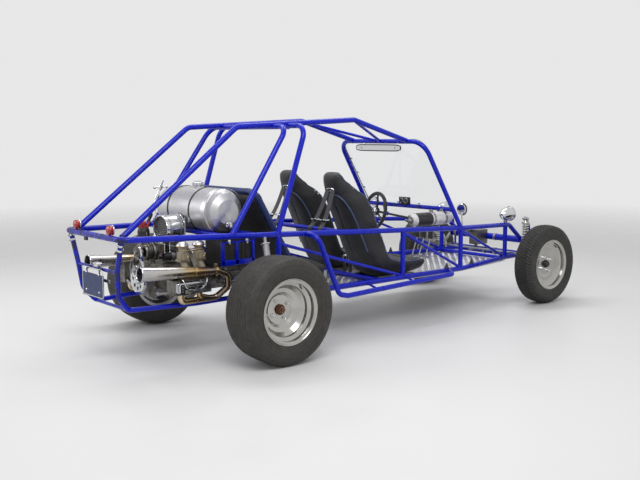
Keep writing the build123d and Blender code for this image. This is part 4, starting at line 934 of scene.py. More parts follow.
# Half width, wing height and thickness at those points
seat_tables = (
    (0.190, 0.202, 0.208, 0.210, 0.208, 0.205, 0.200, 0.203, 0.196, 0.150, 0.112, 0.085),
    (0.028, 0.045, 0.060, 0.080, 0.092, 0.098, 0.112, 0.118, 0.098, 0.050, 0.022, 0.012),
    (0.088, 0.100, 0.098, 0.092, 0.090, 0.092, 0.088, 0.082, 0.078, 0.072, 0.066, 0.058),
)
seat_y = (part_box("seat_left")[0].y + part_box("seat_left")[1].y) / 2
bench_spine = np.array([
    (0.757, 0.528), (0.690, 0.531), (0.600, 0.524), (0.520, 0.517), (0.468, 0.524),
    (0.420, 0.590), (0.360, 0.688), (0.290, 0.802), (0.210, 0.935), (0.133, 1.068),
])
bench_tables = (
    [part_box("rear_bench")[1].y - 0.006] * 10,
    [0.0] * 10,
    (0.075, 0.088, 0.090, 0.088, 0.088, 0.084, 0.080, 0.078, 0.074, 0.066),
)


def stitched(distance, depth, width):
    """The depth of a stitched channel at a distance from its line: a bell curve of that width."""
    return depth * np.exp(-((distance / width) ** 2))


def seat_channels(middle):
    """Depth of the seat's stitching: channels across the front, a seam down the back and one at each wing."""
    spine_length, cross_lines = 1.45, np.array([0.10, 0.17, 0.24, 0.52, 0.585, 0.65, 0.715])

    def depth(places, normals):
        share = spine_share(seat_spine, places)
        aside = np.abs(places[:, 1] - middle)
        front = normals[:, 0] * 0.8 + normals[:, 2] * 0.6 > 0.15
        cross = np.min(np.abs(share[:, None] - cross_lines), 1) * spine_length
        cut = stitched(cross, 0.0075, 0.0075) * front * (aside < 0.125)
        wing = stitched(aside - 0.132, 0.0080, 0.0070) * front * (share < 0.80)
        back = stitched(aside, 0.0050, 0.006) * (normals[:, 0] < -0.2) * (share > 0.45) * (share < 0.72)
        return cut + wing + back
    return depth


def bench_channels(places, normals):
    """Depth of the bench's upright pleats, and of the deep crease where its back meets its cushion."""
    share = spine_share(bench_spine, places)
    front = normals[:, 0] * 0.6 + normals[:, 2] * 0.8 > 0.2
    pitch = 0.085
    pleat = np.abs((places[:, 1] / pitch) % 1 - 0.5) * pitch
    cut = stitched(pleat, 0.0070, 0.0075) * front * (np.abs(places[:, 1]) < 0.36)
    return cut + stitched(share - 0.44, 0.008, 0.018) * front


def seat_place(middle, share, aside, depth):
    """Places on a seat: at a share of its front line, aside from its middle and that deep behind the line."""
    share = np.atleast_1d(share)
    row, rows = share * (LINE_ROWS - 1), np.arange(LINE_ROWS)
    line, inward = (
        np.stack([np.interp(row, rows, column) for column in grid.T], -1) for grid in front_line(seat_spine)
    )
    spot = line + inward * np.broadcast_to(depth, share.shape)[:, None]
    return np.stack([rear_axle_x + spot[:, 0], np.broadcast_to(middle + aside, share.shape), spot[:, 1]], -1)


def spaced(path, least):
    """The path without the places that lie closer than the least distance to the one before."""
    gaps = np.linalg.norm(np.diff(path, axis=0), axis=1)
    return path[np.concatenate([[True], gaps > least])]


def seat_piping(surface, middle):
    """Piping in an arch over the seat's front and round its whole edge."""
    sweep = np.linspace(-1, 1, 120)
    arch_share, arch_w = 0.80 - 0.34 * np.abs(sweep) ** 2.6, 0.172
    arch = on_surface(surface, seat_place(middle, arch_share, arch_w * np.sin(sweep * pi / 2), 0.12), 0.001)
    share = np.linspace(0.08, 0.93, 90)
    knots = np.linspace(0, 1, len(seat_spine))
    width, wing = (np.interp(share, knots, table) for table in seat_tables[:2])
    right = seat_place(middle, share, -width - 0.02, 0.012 - wing)
    left = right * (1, -1, 1) + (0, 2 * middle, 0)
    over = seat_place(middle, np.full(24, 0.99), np.linspace(-1, 1, 26)[1:-1] * 0.075, -0.02)
    edge = on_surface(surface, np.concatenate([right, over, left[::-1]]), 0.0015)
    return [
        tube(spaced(arch, 0.0015), 0.0055, 8, up=(1, 0, 0.3)),
        tube(spaced(edge, 0.002), 0.0042, 8, up=(0.3, 0.2, 1)),
    ]


def seat_slot(surface, middle):
    """The belt slot through the head rest: an oval ring on each face, and a black plate sunk just inside each
    ring, painted shade for the dark inside of the slot.
    """
    slot_share, half_high, half_wide = 0.845, 0.011, 0.040
    inside = seat_place(middle, slot_share, 0, 0.035)[0]
    turn = around(40)
    rings, slot_shade_plates = [], []
    for depth in (-0.03, 0.11):
        oval = seat_place(middle, slot_share + half_high * np.sin(turn), half_wide * np.cos(turn), depth)
        ring = on_surface(surface, oval, 0.0015)
        centre = ring.mean(0)
        away = unit(centre - inside)
        rings.append(tube(ring, 0.0042, 8, True, (1, 0, 0.4)))
        # Painted shade: a black plate just inside the ring stands for the dark inside of the slot.
        slot_shade_plates.append(skin(np.stack([ring - away * 0.004, centre + (ring - centre) * 0.99 + away * 0.0012])))
    return rings, slot_shade_plates


def seat_belts(surface, middle, side):
    """Shoulder and lap belts, the hook's strap and the belts from the slot to the cross bar, with buckles."""
    belts, buckles = [], []
    for offset in (-0.052, 0.052):
        down = np.linspace(0.835, 0.30, 70)
        spread = offset * (1.0 + 0.35 * (0.835 - down) / 0.5)
        laid = on_surface(surface, seat_place(middle, down, spread, -0.06), 0.0032)
        belts.append(band(laid, belt_half, belt_thick))
        buckles.append(rounded_box(laid[34] + (0.004, 0, 0.003), (0.010, 0.056, 0.040), 0.0025, 2))
    run = np.linspace(0, 1, 40)
    for end_side in (-1, 1):
        lap = seat_place(middle, 0.31 - 0.045 * np.sin(run * pi), end_side * (0.150 - 0.140 * run), -0.07)
        belts.append(band(on_surface(surface, lap, 0.0032), belt_half, belt_thick))
    clasp = on_surface(surface, seat_place(middle, 0.30, 0, -0.07), 0.008)[0]
    round_clasp = [(0, 0.030), (0.006, 0.030), (0.010, 0.024), (0.0115, 0.003)]
    buckles.append(turned(round_clasp, clasp, (0.25, 0, 1), 36))

    hook = at(1.262, middle - side * 0.230, 0.400)
    buckles.append(rounded_box(hook + (0, 0, 0.055), (0.034, 0.010, 0.052), 0.003, 2))
    belts.append(band(straight(hook - (0, 0, 0.055), hook + (0, 0, 0.035), 8), 0.018, belt_thick))

    wrap_r = brace_tube_r + 0.0016
    turn = np.linspace(pi / 2, pi * 2.3, 22)
    for offset in (-0.030, 0.030):
        start = on_surface(surface, seat_place(middle, 0.84, offset, 0.11), 0.003)[0]
        end = harness_bar + (0.001, middle + offset * 1.9, wrap_r)
        hang = straight(start, end, 24)
        hang[:, 2] -= 0.028 * np.sin(np.linspace(0, pi, 24))
        wrap = harness_bar + np.stack([wrap_r * np.cos(turn), np.full(22, end[1]), wrap_r * np.sin(turn)], -1)
        belts.append(band(np.concatenate([hang[:-1], wrap]), belt_half, belt_thick))
        buckles.append(rounded_box(hang[17] + (0, 0, 0.001), (0.044, 0.058, 0.009), 0.002, 2))
    return belts, buckles


def seat_rails(middle):
    """Slide rails and feet that carry the seat on the floor."""
    floor_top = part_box("floor_pan")[1].z
    rails = []
    for offset in (-0.140, 0.140):
        rail = at(1.375, middle + offset, floor_top + 0.014)
        rails.append(rounded_box(rail, (0.40, 0.036, 0.026), 0.003, 2))
        for station in (1.20, 1.55):
            rails.append(bolt_heads(0.013, 0.007, at(station, middle + offset * 1.22, floor_top + 0.002)))
            foot = at(station, middle + offset * 1.2, floor_top + 0.0025)
            rails.append(rounded_box(foot, (0.04, 0.05, 0.004), 0.0012, 2))
    return rails


def make_seat(side_name, side):
    """One bucket seat: its pad, piping, belt slot, belts with buckles, and the rails under it."""
    middle = side * seat_y
    mesh = swollen(f"seat_{side_name}_pad", pad_form(seat_spine, seat_tables, middle, 0.004), 0.010, 0.0115)
    pressed(mesh, seat_channels(middle))
    pad = piece(f"seat_{side_name}_pad", mesh, vinyl, "chassis", (f"seat_{side_name}",))
    surface = surface_of(mesh)
    piece(f"seat_{side_name}_piping", seat_piping(surface, middle), piping_grey)
    rings, slot_shade_plates = seat_slot(surface, middle)
    piece(f"seat_{side_name}_slot_rings", rings, chrome)
    # The black plates in the slot are painted shade.
    piece(f"seat_{side_name}_slot_shade_plate", slot_shade_plates, plastic)
    belts, buckles = seat_belts(surface, middle, side)
    piece(f"seat_{side_name}_belts", belts, belt_cloth)
    piece(f"seat_{side_name}_buckles", buckles, chrome)
    piece(f"seat_{side_name}_rails", seat_rails(middle), steel)


for side_name, side in SIDES:
    make_seat(side_name, side)


def make_bench():
    """The rear bench: pleated pad, navy edge roll round its back, posts and two lap belts."""
    mesh = swollen("rear_bench_pad", pad_form(bench_spine, bench_tables, 0.0, 0.005, 80, 120), 0.012, 0.0145)
    pressed(mesh, bench_channels)
    pad = piece("rear_bench_pad", mesh, vinyl, "chassis", ("rear_bench",))

    half, roll_depth, top_row = bench_tables[0][0], 0.034, 197
    line, inward = front_line(bench_spine)
    rows = np.arange(76, 196, 3)
    up_line = line[rows] + inward[rows] * roll_depth
    up_side = np.stack([rear_axle_x + up_line[:, 0], np.full(len(rows), half + 0.001), up_line[:, 1]], -1)
    top = line[top_row] + inward[top_row] * roll_depth
    over = straight(at(top[0], half - 0.03, top[1] + 0.004), at(top[0], 0.03 - half, top[1] + 0.004), 24)
    path = np.concatenate([up_side, over, up_side[::-1] * (1, -1, 1)])
    piece("rear_bench_edge_roll", tube(through(path[::2], 130), 0.021, 16, up=(1, 0, 0.55)), navy_vinyl)

    posts = [
        rounded_box(at(station, side * 0.34, 0.395), (0.03, 0.03, 0.118), 0.003, 2)
        for station in (0.62, 0.74) for side in (-1, 1)
    ]
    piece("rear_bench_posts", posts, steel)

    surface = surface_of(mesh)
    run = np.linspace(0, 1, 30)
    laid = line[np.round((0.46 - 0.20 * run) * (LINE_ROWS - 1)).astype(int)]
    clasp_row = 52
    belts, buckles = [], []
    for middle in (-0.20, 0.20):
        for side in (-1, 1):
            aside = middle + side * (0.155 - 0.140 * run)
            path = np.stack([rear_axle_x + laid[:, 0], aside, laid[:, 1] + 0.03], -1)
            belts.append(band(on_surface(surface, path, 0.003), belt_half, belt_thick))
        over_clasp = at(line[clasp_row, 0], middle, line[clasp_row, 1] + 0.03)
        clasp = on_surface(surface, [over_clasp], 0.006)[0]
        buckles.append(rounded_box(clasp, (0.052, 0.060, 0.014), 0.003, 2))
    piece("rear_bench_belts", belts, belt_cloth)
    piece("rear_bench_buckles", buckles, chrome)


make_bench()


# Springs, steering and lamps at the front
def helix(start, end, radius, wire, turns, steps=22, sides=8):
    """A coil spring: a wire round the line from start to end, its two end turns lying flat."""
    axis, across, other = frame_of(end - start)
    flat = 0.8
    turn = np.linspace(0, turns, int(turns * steps) + 1)
    rise = np.clip((turn - flat) / (turns - 2 * flat), 0, 1)
    end_rise = np.clip(turn / flat, 0, 1) + np.clip((turn - turns + flat) / flat, 0, 1)
    free_length = np.linalg.norm(end - start) - 2 * wire - 2 * flat * wire
    height = wire + rise * free_length + wire * flat * end_rise
    angle = turn[:, None] * TURN
    path = start + height[:, None] * axis + radius * (np.cos(angle) * across + np.sin(angle) * other)
    return tube(path, wire, sides, up=axis)


def front_springs():
    """Each front spring unit: damper rod and threaded body, spring seats, fine white coil and end eyes."""
    coil_low, coil_high = 0.345, 0.935
    cup = [(0, 0.018), (0, 0.033), (0.004, 0.0345), (0.009, 0.0345), (0.011, 0.031), (0.011, 0.018)]
    bodies, coils, rods, eyes = [], [], [], []
    for side in (-1, 1):
        foot, top = at(2.846, side * 0.490, 0.265), at(2.866, side * 0.484, 0.694)
        length = np.linalg.norm(top - foot)
        axis = (top - foot) / length
        rods.append(turned([(0.004, 0.0108), (length * 0.5, 0.0108)], foot, axis, 20))
        thread = [(length * (0.37 + 0.009 * k), 0.0196 + 0.0012 * (k % 2)) for k in range(61)]
        body = [(length * 0.36, 0.015), *thread, (length * 0.93, 0.0196), (length * 0.97, 0.012)]
        bodies.append(turned(body, foot, axis, 28))
        low_seat, high_seat = foot + axis * length * coil_low, foot + axis * length * coil_high
        bodies.append(turned(cup, low_seat, axis, 36, True))
        bodies.append(turned(cup, high_seat, -axis, 36, True))
        coils.append(helix(low_seat + axis * 0.010, high_seat - axis * 0.010, 0.0270, 0.0043, 12))
        for eye in (foot, top):
            eyes.append(collar(eye, (0, 1, 0), 0.010, 0.0165, -0.017, 0.017, 28))
            for way in (-1, 1):
                eyes.append(bolt_heads(0.017, 0.010, eye + (0, way * 0.019, 0), (0, way, 0)))
            rods.append(rod(eye - (0, 0.028, 0), eye + (0, 0.028, 0), 0.0065, 16))
    piece("front_damper_bodies", bodies, rim_aluminium, "chassis", ("coil_overs",))
    piece("front_coils", coils, white_enamel)
    piece("front_damper_rods", rods, chrome)
    piece("front_damper_eyes", eyes, steel)


def rear_damper_trim():
    """A ribbed black sleeve on each rear damper, with its two bright rings and its eye bolts."""
    sleeves, seats = [], []
    for side in (-1, 1):
        foot, top = at(0.070, side * 0.630, 0.352), at(0.100, side * 0.500, rail_height(0.100))
        length = np.linalg.norm(top - foot)
        axis = (top - foot) / length
        for share in (0.30, 0.86):
            seats.append(collar(foot + axis * length * share, axis, 0.0245, 0.034, 0, 0.005, 32))
        for way in (-1, 1):
            seats.append(bolt_heads(0.019, 0.010, foot + (way * 0.014, 0, 0), (way, 0, 0)))
        ribs = [(length * (0.40 + 0.01 * k), 0.0242 + 0.0016 * (k % 2)) for k in range(28)]
        sleeves.append(turned(ribs, foot, axis, 28))
    piece("rear_damper_sleeves", sleeves, plastic)
    piece("rear_damper_seats", seats, chrome)


def steering_trim():
    """The wheel's wrapped and stitched rim, hub bolts and horn button, and the column's joint and bracket."""
    column_top, column_foot = at(1.8304, 0.262, 0.770), at(2.890, 0.090, 0.535)
    axis, across, other = frame_of(column_top - column_foot)
    centre = column_top + axis * 0.026
    turn = around(720)
    circle = np.cos(turn)[:, None] * across + np.sin(turn)[:, None] * other
    ridge = 0.0148 + 0.0008 * np.cos(turn * 60) * (np.cos(turn * 4) > -0.9)
    piece("steering_rim_grip", tube(centre + circle * 0.150, ridge, 14, True, axis), vinyl, "steering")
    stitch = rounded_box((0, 0, 0), (0.0016, 0.0065, 0.0016), 0.0006, 1)
    stitches = copies(stitch, centre + circle[::6] * 0.1352, axis)
    piece("steering_rim_stitches", stitches, piping_grey, "steering")
    button = turned([(0.006, 0.026), (0.012, 0.026), (0.017, 0.020), (0.0185, 0.004)], centre, axis, 36)
    heads = bolt_heads(0.008, 0.004, ring_of(6, 0.0305, centre + axis * 0.006, axis), axis)
    piece("steering_hub_button", [button, heads], chrome, "steering")
    couple = turned([(0.070, 0.017), (0.074, 0.019), (0.112, 0.019), (0.116, 0.017)], column_foot, axis, 28)
    cross = bolt_heads(0.010, 0.006, ring_of(4, 0.018, column_foot + axis * 0.093, axis),
                       ring_of(4, 1.0, (0, 0, 0), axis))
    piece("steering_column_joint", [couple, cross], steel, "steering")
    held = column_foot + (column_top - column_foot) * 0.915
    clamp = collar(held, axis, 0.0100, 0.0185, -0.013, 0.013, 32)
    hanger = rod(held + (0, 0.016, 0.004), dash_bar + (0, 0.282, -0.012), 0.008, 14)
    piece("steering_column_bracket", [clamp, hanger], blue_paint)


def front_lamps():
    """Each headlamp: chrome bucket, rolled rim, fluted glass over a bright dish, bulb shield and stalk."""
    dish = through([(0.054, 0.054), (0.040, 0.050), (0.018, 0.040), (0.0, 0.024), (-0.006, 0.006)], 14)
    back = through([(0.048, 0.0585), (0.020, 0.0585), (-0.012, 0.052), (-0.040, 0.036), (-0.058, 0.016),
                    (-0.0625, 0.002)], 24)
    bucket = np.concatenate([back[::-1], [(0.052, 0.0605)], dish])
    lip = [(0.050, 0.0565), (0.050, 0.062), (0.055, 0.064), (0.062, 0.0625), (0.064, 0.059), (0.061, 0.0562)]
    shield = [(0.012, 0.009), (0.030, 0.010), (0.033, 0.004)]
    pane = [(0.0585, 0.0565), (0.0625, 0.050), (0.0655, 0.034), (0.067, 0.016), (0.0672, 0.002),
            (0.0645, 0.002), (0.0642, 0.016), (0.063, 0.034), (0.060, 0.050), (0.0560, 0.0565)]
    stalk = [(0, 0.018), (0.004, 0.018), (0.006, 0.011), (0.030, 0.0095), (0.034, 0.015), (0.042, 0.015)]
    forward = (1, 0, 0)
    shells, glass, shields, stalks = [], [], [], []
    for side in (-1, 1):
        middle = at(2.745, side * nose_w, 0.735)
        shells.append(turned(bucket, middle, forward, 48))
        shells.append(turned(lip, middle, forward, 56, True))
        shells.append(bolt_heads(0.006, 0.004, middle + (0.056, 0, -0.066), (0, 0, -1)))
        shields.append(turned(shield, middle, forward, 24))
        glass.append(turned(pane, middle, forward, 48, True))
        stalks.append(turned(stalk, middle - (0, 0, 0.092), (0, 0, 1), 24))
        for way in (-1, 1):
            stalks.append(bolt_heads(0.013, 0.008, middle + (way * 0.012, 0, -0.064), (way, 0, 0)))
    piece("headlamp_shells", shells, chrome, "chassis", ("headlamps",))
    piece("headlamp_bulb_shields", shields, steel)
    piece("headlamp_glasses", glass, lens_glass)
    piece("headlamp_stalks", stalks, steel)


def beam_trim():
    """Pivot bolts on the beam's arms, and two clamp rings round each half of each beam tube."""
    parts = []
    for side in (-1, 1):
        for height in (0.492, 0.362):
            parts.append(bolt_heads(0.022, 0.011, at(beam_s, side * 0.455, height), (0, side, 0)))
            parts.append(collar(at(beam_s, side * 0.40, height), (0, 1, 0), 0.0295, 0.0335, -0.013, 0.013))
            parts.append(collar(at(beam_s, side * 0.06, height), (0, 1, 0), 0.0295, 0.0325, -0.010, 0.010))
    piece("beam_clamps_and_bolts", parts, steel)


front_springs()
rear_damper_trim()
steering_trim()
front_lamps()
beam_trim()


# Mirrors, canister and pedals
def squared_ring(middle, half_wide, half_high, wide_power, high_power, count):
    """A closed path like a rounded rectangle facing forward: half size * cosine and sine raised to powers."""
    turn = around(count)
    width, height = half_wide * boxy(np.cos(turn), wide_power), half_high * boxy(np.sin(turn), high_power)
    return np.stack([np.full(count, middle[0]), middle[1] + width, middle[2] + height], -1)


def mirror_trim():
    """The wide mirror's dark frame and bracket screws, and the round mirrors' thin rims and ball joints."""
    wide = at(1.549, -0.038, 1.310)
    frames = [tube(squared_ring(wide, 0.2505, 0.0225, 0.25, 0.55, 96), 0.0052, 8, True, (1, 0, 0))]
    screws = [bolt_heads(0.008, 0.004, wide + (-0.0045, offset, 0), (-1, 0, 0)) for offset in (-0.190, 0.190)]
    ball = [(0, 0.010), (0.006, 0.011), (0.012, 0.008), (0.013, 0.002)]
    for side in (-1, 1):
        centre = at(2.032, side * cabin_w, 0.826)
        frames.append(torus(centre - (0.002, 0, 0), (1, 0, 0), 0.0455, 0.0040, 48, 10))
        screws.append(turned(ball, centre + (0.011, 0, -0.030), (1, 0, -0.6), 20))
    piece("mirror_frames", frames, plastic)
    piece("mirror_screws", screws, chrome)


def canister_trim():
    """The canister's band, two straps with their clamps, and the valve body with its two fittings."""
    axis, radius = at(0, -0.400, 0.7595), 0.052
    forward = (1, 0, 0)
    label_band = collar(axis + (1.672, 0, 0), forward, radius, radius + 0.0012, -0.082, 0.082, 56)
    straps = []
    for station in (1.780, 1.905):
        place = axis + (station, 0, 0)
        straps.append(collar(place, forward, radius, radius + 0.0025, -0.009, 0.009, 56))
        straps.append(rounded_box(place + (0, 0, radius + 0.010), (0.018, 0.026, 0.018), 0.002, 2))
        straps.append(bolt_heads(0.009, 0.006, place + (0, 0.013, radius + 0.012), (0, 1, 0)))
    rear_end = axis + (1.560, 0, 0)
    body = [(0, 0.024), (0.006, 0.024), (0.008, 0.017), (0.028, 0.017), (0.031, 0.012), (0.042, 0.012),
            (0.044, 0.004)]
    knob = [(0, 0.008), (0.018, 0.008), (0.019, 0.011), (0.030, 0.011), (0.031, 0.003)]
    outlet = [(0, 0.007), (0.020, 0.007), (0.021, 0.0095), (0.032, 0.0095), (0.033, 0.003)]
    valve = [
        turned(body, rear_end, (-1, 0, 0), 32), turned(knob, rear_end + (-0.019, 0, 0.012), (0, 0, 1), 20),
        turned(outlet, rear_end + (-0.019, 0.010, 0), (0, 1, 0), 20),
    ]
    piece("canister_band", label_band, plastic)
    piece("canister_straps", straps, steel)
    piece("canister_valve", valve, steel)


def pedal_trim():
    """Ribbed rubber pads on the three pedals."""
    pads = []
    for middle in (0.170, 0.250, 0.330):
        face = at(2.385, middle, 0.535)
        pads.append(rounded_box(face - (0.002, 0, 0), (0.006, 0.050, 0.066), 0.0025, 3))
        for offset in np.linspace(-0.024, 0.024, 6):
            pads.append(rounded_box(face + (-0.0055, 0, offset), (0.004, 0.044, 0.0045), 0.0014, 2))
    piece("pedal_pads", pads, rubber)


mirror_trim()
canister_trim()
pedal_trim()


# Engine, air-cooled flat four
def engine_bolts():
    """Case nuts along the split, head studs, sump nuts, push-rod tubes, and the covers' bails and ribs."""
    cover_middle_s, cover_y = -0.3625, 0.404
    half_bail = [(0.088, 0.368, 0.520), (0.088, 0.388, 0.523), (0.080, cover_y + 0.004, 0.500),
                 (0.060, cover_y + 0.0065, 0.466)]
    bellows = [(0.002 + 0.003 * k, 0.0105 + 0.0022 * (k % 2)) for k in range(8)]
    nuts, tubes, bails, ribs = [], [], [], []
    for station in (-0.490, -0.420, -0.340, -0.275, -0.215):
        for side in (-1, 1):
            pair = [at(station, side * 0.118, height) for height in (0.520, 0.440)]
            nuts.append(bolt_heads(0.015, 0.009, pair, (0, side, 0)))
    nuts.append(bolt_heads(0.010, 0.006, ring_of(6, 0.040, at(-0.310, 0, 0.362), (0, 0, -1)), (0, 0, -1)))
    for side in (-1, 1):
        for station in (-0.478, -0.402, -0.328, -0.252):
            inner, outer = at(station, side * 0.122, 0.402), at(station, side * 0.290, 0.432)
            length = np.linalg.norm(outer - inner)
            far = [(length - 0.028 + along, radius) for along, radius in bellows]
            profile = [*bellows, (0.026, 0.009), (length - 0.029, 0.009), *far]
            tubes.append(turned(profile, inner, outer - inner, 18))
        rearward = [at(cover_middle_s - reach, side * y, z) for reach, y, z in half_bail]
        forward = [at(cover_middle_s + reach, side * y, z) for reach, y, z in reversed(half_bail)]
        bottom = at(cover_middle_s, side * (cover_y + 0.0075), 0.452)
        bails.append(tube(through([*rearward, bottom, *forward], 90), 0.0028, 8, up=(0.2, 0.4, 1)))
        studs = [at(station, side * 0.352, height)
                 for station in (-0.470, -0.388, -0.338, -0.256) for height in (0.478, 0.562)]
        nuts.append(bolt_heads(0.014, 0.010, studs))
        for height in (0.440, 0.452, 0.476, 0.488):
            place = at(cover_middle_s, side * (cover_y + 0.0032), height)
            ribs.append(rounded_box(place, (0.150, 0.0035, 0.005), 0.0014, 2))
    piece("engine_nuts", nuts, steel)
    piece("push_rod_tubes", tubes, steel)
    piece("valve_cover_bails", bails, chrome)
    piece("valve_cover_ribs", ribs, rim_aluminium)


def pulley_trim():
    """The crank pulley's bright face, bolts and degree marks, and the generator's nut, strap and black strips
    on its end plate, painted shade for its vent slots.
    """
    rearward = (-1, 0, 0)
    pulley, generator = at(-0.5453, 0, crank_z), at(0, 0, 0.662)
    face = pulley - (0.0145, 0, 0)
    ring = collar(face, rearward, 0.0835, 0.0885, -0.0012, 0.0014, 72)
    middle = turned([(0, 0.030), (0.004, 0.030), (0.006, 0.026)], face, rearward, 40)
    head = bolt_heads(0.030, 0.014, at(-0.572, 0, crank_z), rearward)
    small = bolt_heads(0.010, 0.006, ring_of(4, 0.0215, face - (0.006, 0, 0), rearward, 0.4), rearward)
    piece("crank_pulley_face", [ring, middle], rim_aluminium)
    piece("crank_pulley_bolts", [head, small], steel)
    spots = ring_of(36, 0.0895, pulley, (1, 0, 0))
    mark = rounded_box((0, 0, 0), (0.0016, 0.006, 0.0012), 0.0004, 1)
    piece("crank_pulley_marks", copies(mark, spots - (0.010, 0, 0), unit(spots - pulley)), plastic)
    nut = bolt_heads(0.022, 0.010, generator + (-0.5573, 0, 0), rearward)
    strap = collar(generator + (-0.449, 0, 0), (1, 0, 0), 0.0585, 0.0602, -0.0065, 0.0065, 56)
    terminal = turned([(0, 0.006), (0.010, 0.006), (0.011, 0.004), (0.018, 0.004)],
                      generator + (-0.425, 0.030, 0.052), (0, 0.4, 1), 14)
    piece("generator_nut_and_strap", [nut, strap, terminal], steel)
    end_plate = generator + (-0.491, 0, 0)
    inner, outer = (ring_of(16, radius, end_plate, (1, 0, 0)) for radius in (0.022, 0.046))
    # Painted shade: black strips stand for the dark vent slots in the end plate.
    vent_shade_strips = [tube(straight(start, end, 3), 0.0022, 6, up=(1, 0, 0)) for start, end in zip(inner, outer)]
    piece("generator_vent_shade", vent_shade_strips, plastic)


def ignition_trim():
    """Ribbed red boots on the distributor's towers, its clips and vacuum can, and the coil with its strap."""
    distributor = at(-0.455, 0.084, 0)
    upward = (0, 0, 1)
    cap_top = distributor + (0, 0, 0.817)
    boot = [(-0.004, 0.0100), (0.006, 0.0104), (0.009, 0.0088), (0.012, 0.0098), (0.015, 0.0084),
            (0.018, 0.0092), (0.026, 0.0075), (0.037, 0.0040), (0.040, 0.0015)]
    towers = [*ring_of(4, 0.025, cap_top, upward, 0.785), cap_top]
    flared_from = cap_top - (0, 0, 0.050)
    boots = [turned(boot, tower, tower - flared_from, 18) for tower in towers]
    boots.append(collar(distributor + (0, 0, 0.7475), upward, 0.0402, 0.0418, -0.0005, 0.009, 44))
    piece("distributor_red_boots", boots, red_rubber)
    vacuum_can = [(0, 0.008), (0.016, 0.008), (0.018, 0.022), (0.030, 0.024), (0.036, 0.020), (0.037, 0.006),
                  (0.046, 0.005)]
    clips = [turned(vacuum_can, distributor + (-0.032, 0, 0.735), (-1, 0, 0), 30)]
    for side in (-1, 1):
        bent = [(0.034, 0.728), (0.043, 0.742), (0.044, 0.766), (0.036, 0.788)]
        path = through([distributor + (0, side * aside, height) for aside, height in bent], 16)
        clips.append(tube(path, 0.0018, 6, up=(1, 0, 0)))
    piece("distributor_clips", clips, steel)

    coil, forward, coil_r = at(-0.345, -0.088, 0.630), (1, 0, 0), 0.0255
    body = [(-0.062, 0.004), (-0.062, coil_r), (0.058, coil_r), (0.060, 0.0262), (0.064, 0.0262)]
    cap = [(0.064, coil_r), (0.070, 0.022), (0.084, 0.010), (0.100, 0.0085), (0.102, 0.003)]
    foot = rounded_box(coil - (0, 0, 0.0305), (0.030, 0.030, 0.013), 0.002, 2)
    piece("ignition_coil_body", turned(body, coil, forward, 36), plastic)
    piece("ignition_coil_cap", turned(cap, coil, forward, 30), red_rubber)
    strap = collar(coil, forward, coil_r, coil_r + 0.0017, -0.012, 0.012, 40)
    piece("ignition_coil_strap", [strap, foot], steel)


def carburettor_trim():
    """Twin carburettors: rims, screens, screws, jets and levers, the shafts along them and the rails."""
    throat_y, shaft_y, link_s, link_z = 0.262, 0.2255, -0.310, 0.688
    dome = [(0.002, 0.0395), (0.010, 0.037), (0.020, 0.029), (0.026, 0.017), (0.0285, 0.003)]
    screw = turned([(0, 0.0042), (0.003, 0.0042), (0.004, 0.0032)], steps=10)
    jet = [(0, 0.008), (0.005, 0.008), (0.006, 0.005), (0.012, 0.0045)]
    brass_parts, linkage, screens = [], [], []
    for side in (-1, 1):
        for station in (-0.370, -0.250):
            throat = at(station, side * throat_y, 0.715)
            brass_parts.append(collar(throat, (0, 0, 1), 0.0395, 0.0425, -0.001, 0.003, 40))
            screens.append(turned(dome, throat, (0, 0, 1), 36))
            ways = np.array([(-1, -1, 0), (-1, 1, 0), (1, -1, 0), (1, 1, 0)])
            linkage.append(copies(screw, throat + ways * (0.024, 0.022, 0) - (0, 0, 0.039)))
            linkage.append(bolt_heads(0.010, 0.006, throat + ways * (0.030, 0.027, 0) - (0, 0, 0.091)))
            brass_parts.append(turned(jet, at(station, side * 0.328, 0.650), (0, side, 0), 6))
            linkage.append(rounded_box(at(station, side * 0.226, 0.668), (0.010, 0.004, 0.044), 0.0015, 2))
        linkage.append(rod(at(-0.395, side * shaft_y, 0.686), at(-0.225, side * shaft_y, 0.686), 0.0030, 10))
        rail = [at(station, side * 0.316, 0.690) for station in (-0.400, -0.370, -0.250)]
        brass_parts.append(tube(through([*rail, at(-0.205, side * 0.300, 0.692)], 40), 0.0045, 10))
        link_end = at(link_s, side * 0.218, link_z)
        linkage.append(turned([(-0.007, 0.0085), (0.007, 0.0085)], link_end, (0, 1, 0), 16))
        pin = at(link_s, side * 0.196, link_z)
        linkage.append(rod(pin, pin + (0, 0, 0.018), 0.0035, 10))
    linkage.append(rod(at(link_s, -0.226, link_z), at(link_s, 0.226, link_z), 0.0048, 6))
    linkage.append(rod(at(-0.370, -0.300, 0.640), at(-0.370, -0.300, 0.900), 0.0035, 10))
    piece("carburettor_brass", brass_parts, brass)
    piece("carburettor_screens", screens, plate_metal)
    piece("carburettor_linkage", linkage, steel)


def exhaust_trim():
    """Brass-coloured clamp rings with their bolts, and rolled lips on the megaphones."""
    clamps, rings, lips = [], [], []
    for side in (-1, 1):
        start, end = at(-0.190, side * 0.385, 0.553), at(-0.728, side * 0.362, 0.579)
        axis = unit(end - start)
        clamped = start + axis * 0.012
        rings.append(collar(clamped, axis, 0.0300, 0.0335, -0.008, 0.008, 44))
        rings.append(collar(start + axis * 0.155, axis, 0.0305, 0.0335, 0, 0.010, 44))
        clamps.append(rounded_box(clamped + (0, 0, 0.041), (0.014, 0.020, 0.016), 0.002, 2))
        clamps.append(bolt_heads(0.011, 0.007, clamped + (0, side * 0.010, 0.042), (0, side, 0)))
        lips.append(torus(end - axis * 0.001, axis, 0.0455, 0.0032, 56, 10))
    piece("exhaust_clamp_rings", rings, brass)
    piece("exhaust_clamp_bolts", clamps, steel)
    piece("exhaust_lips", lips, chrome)


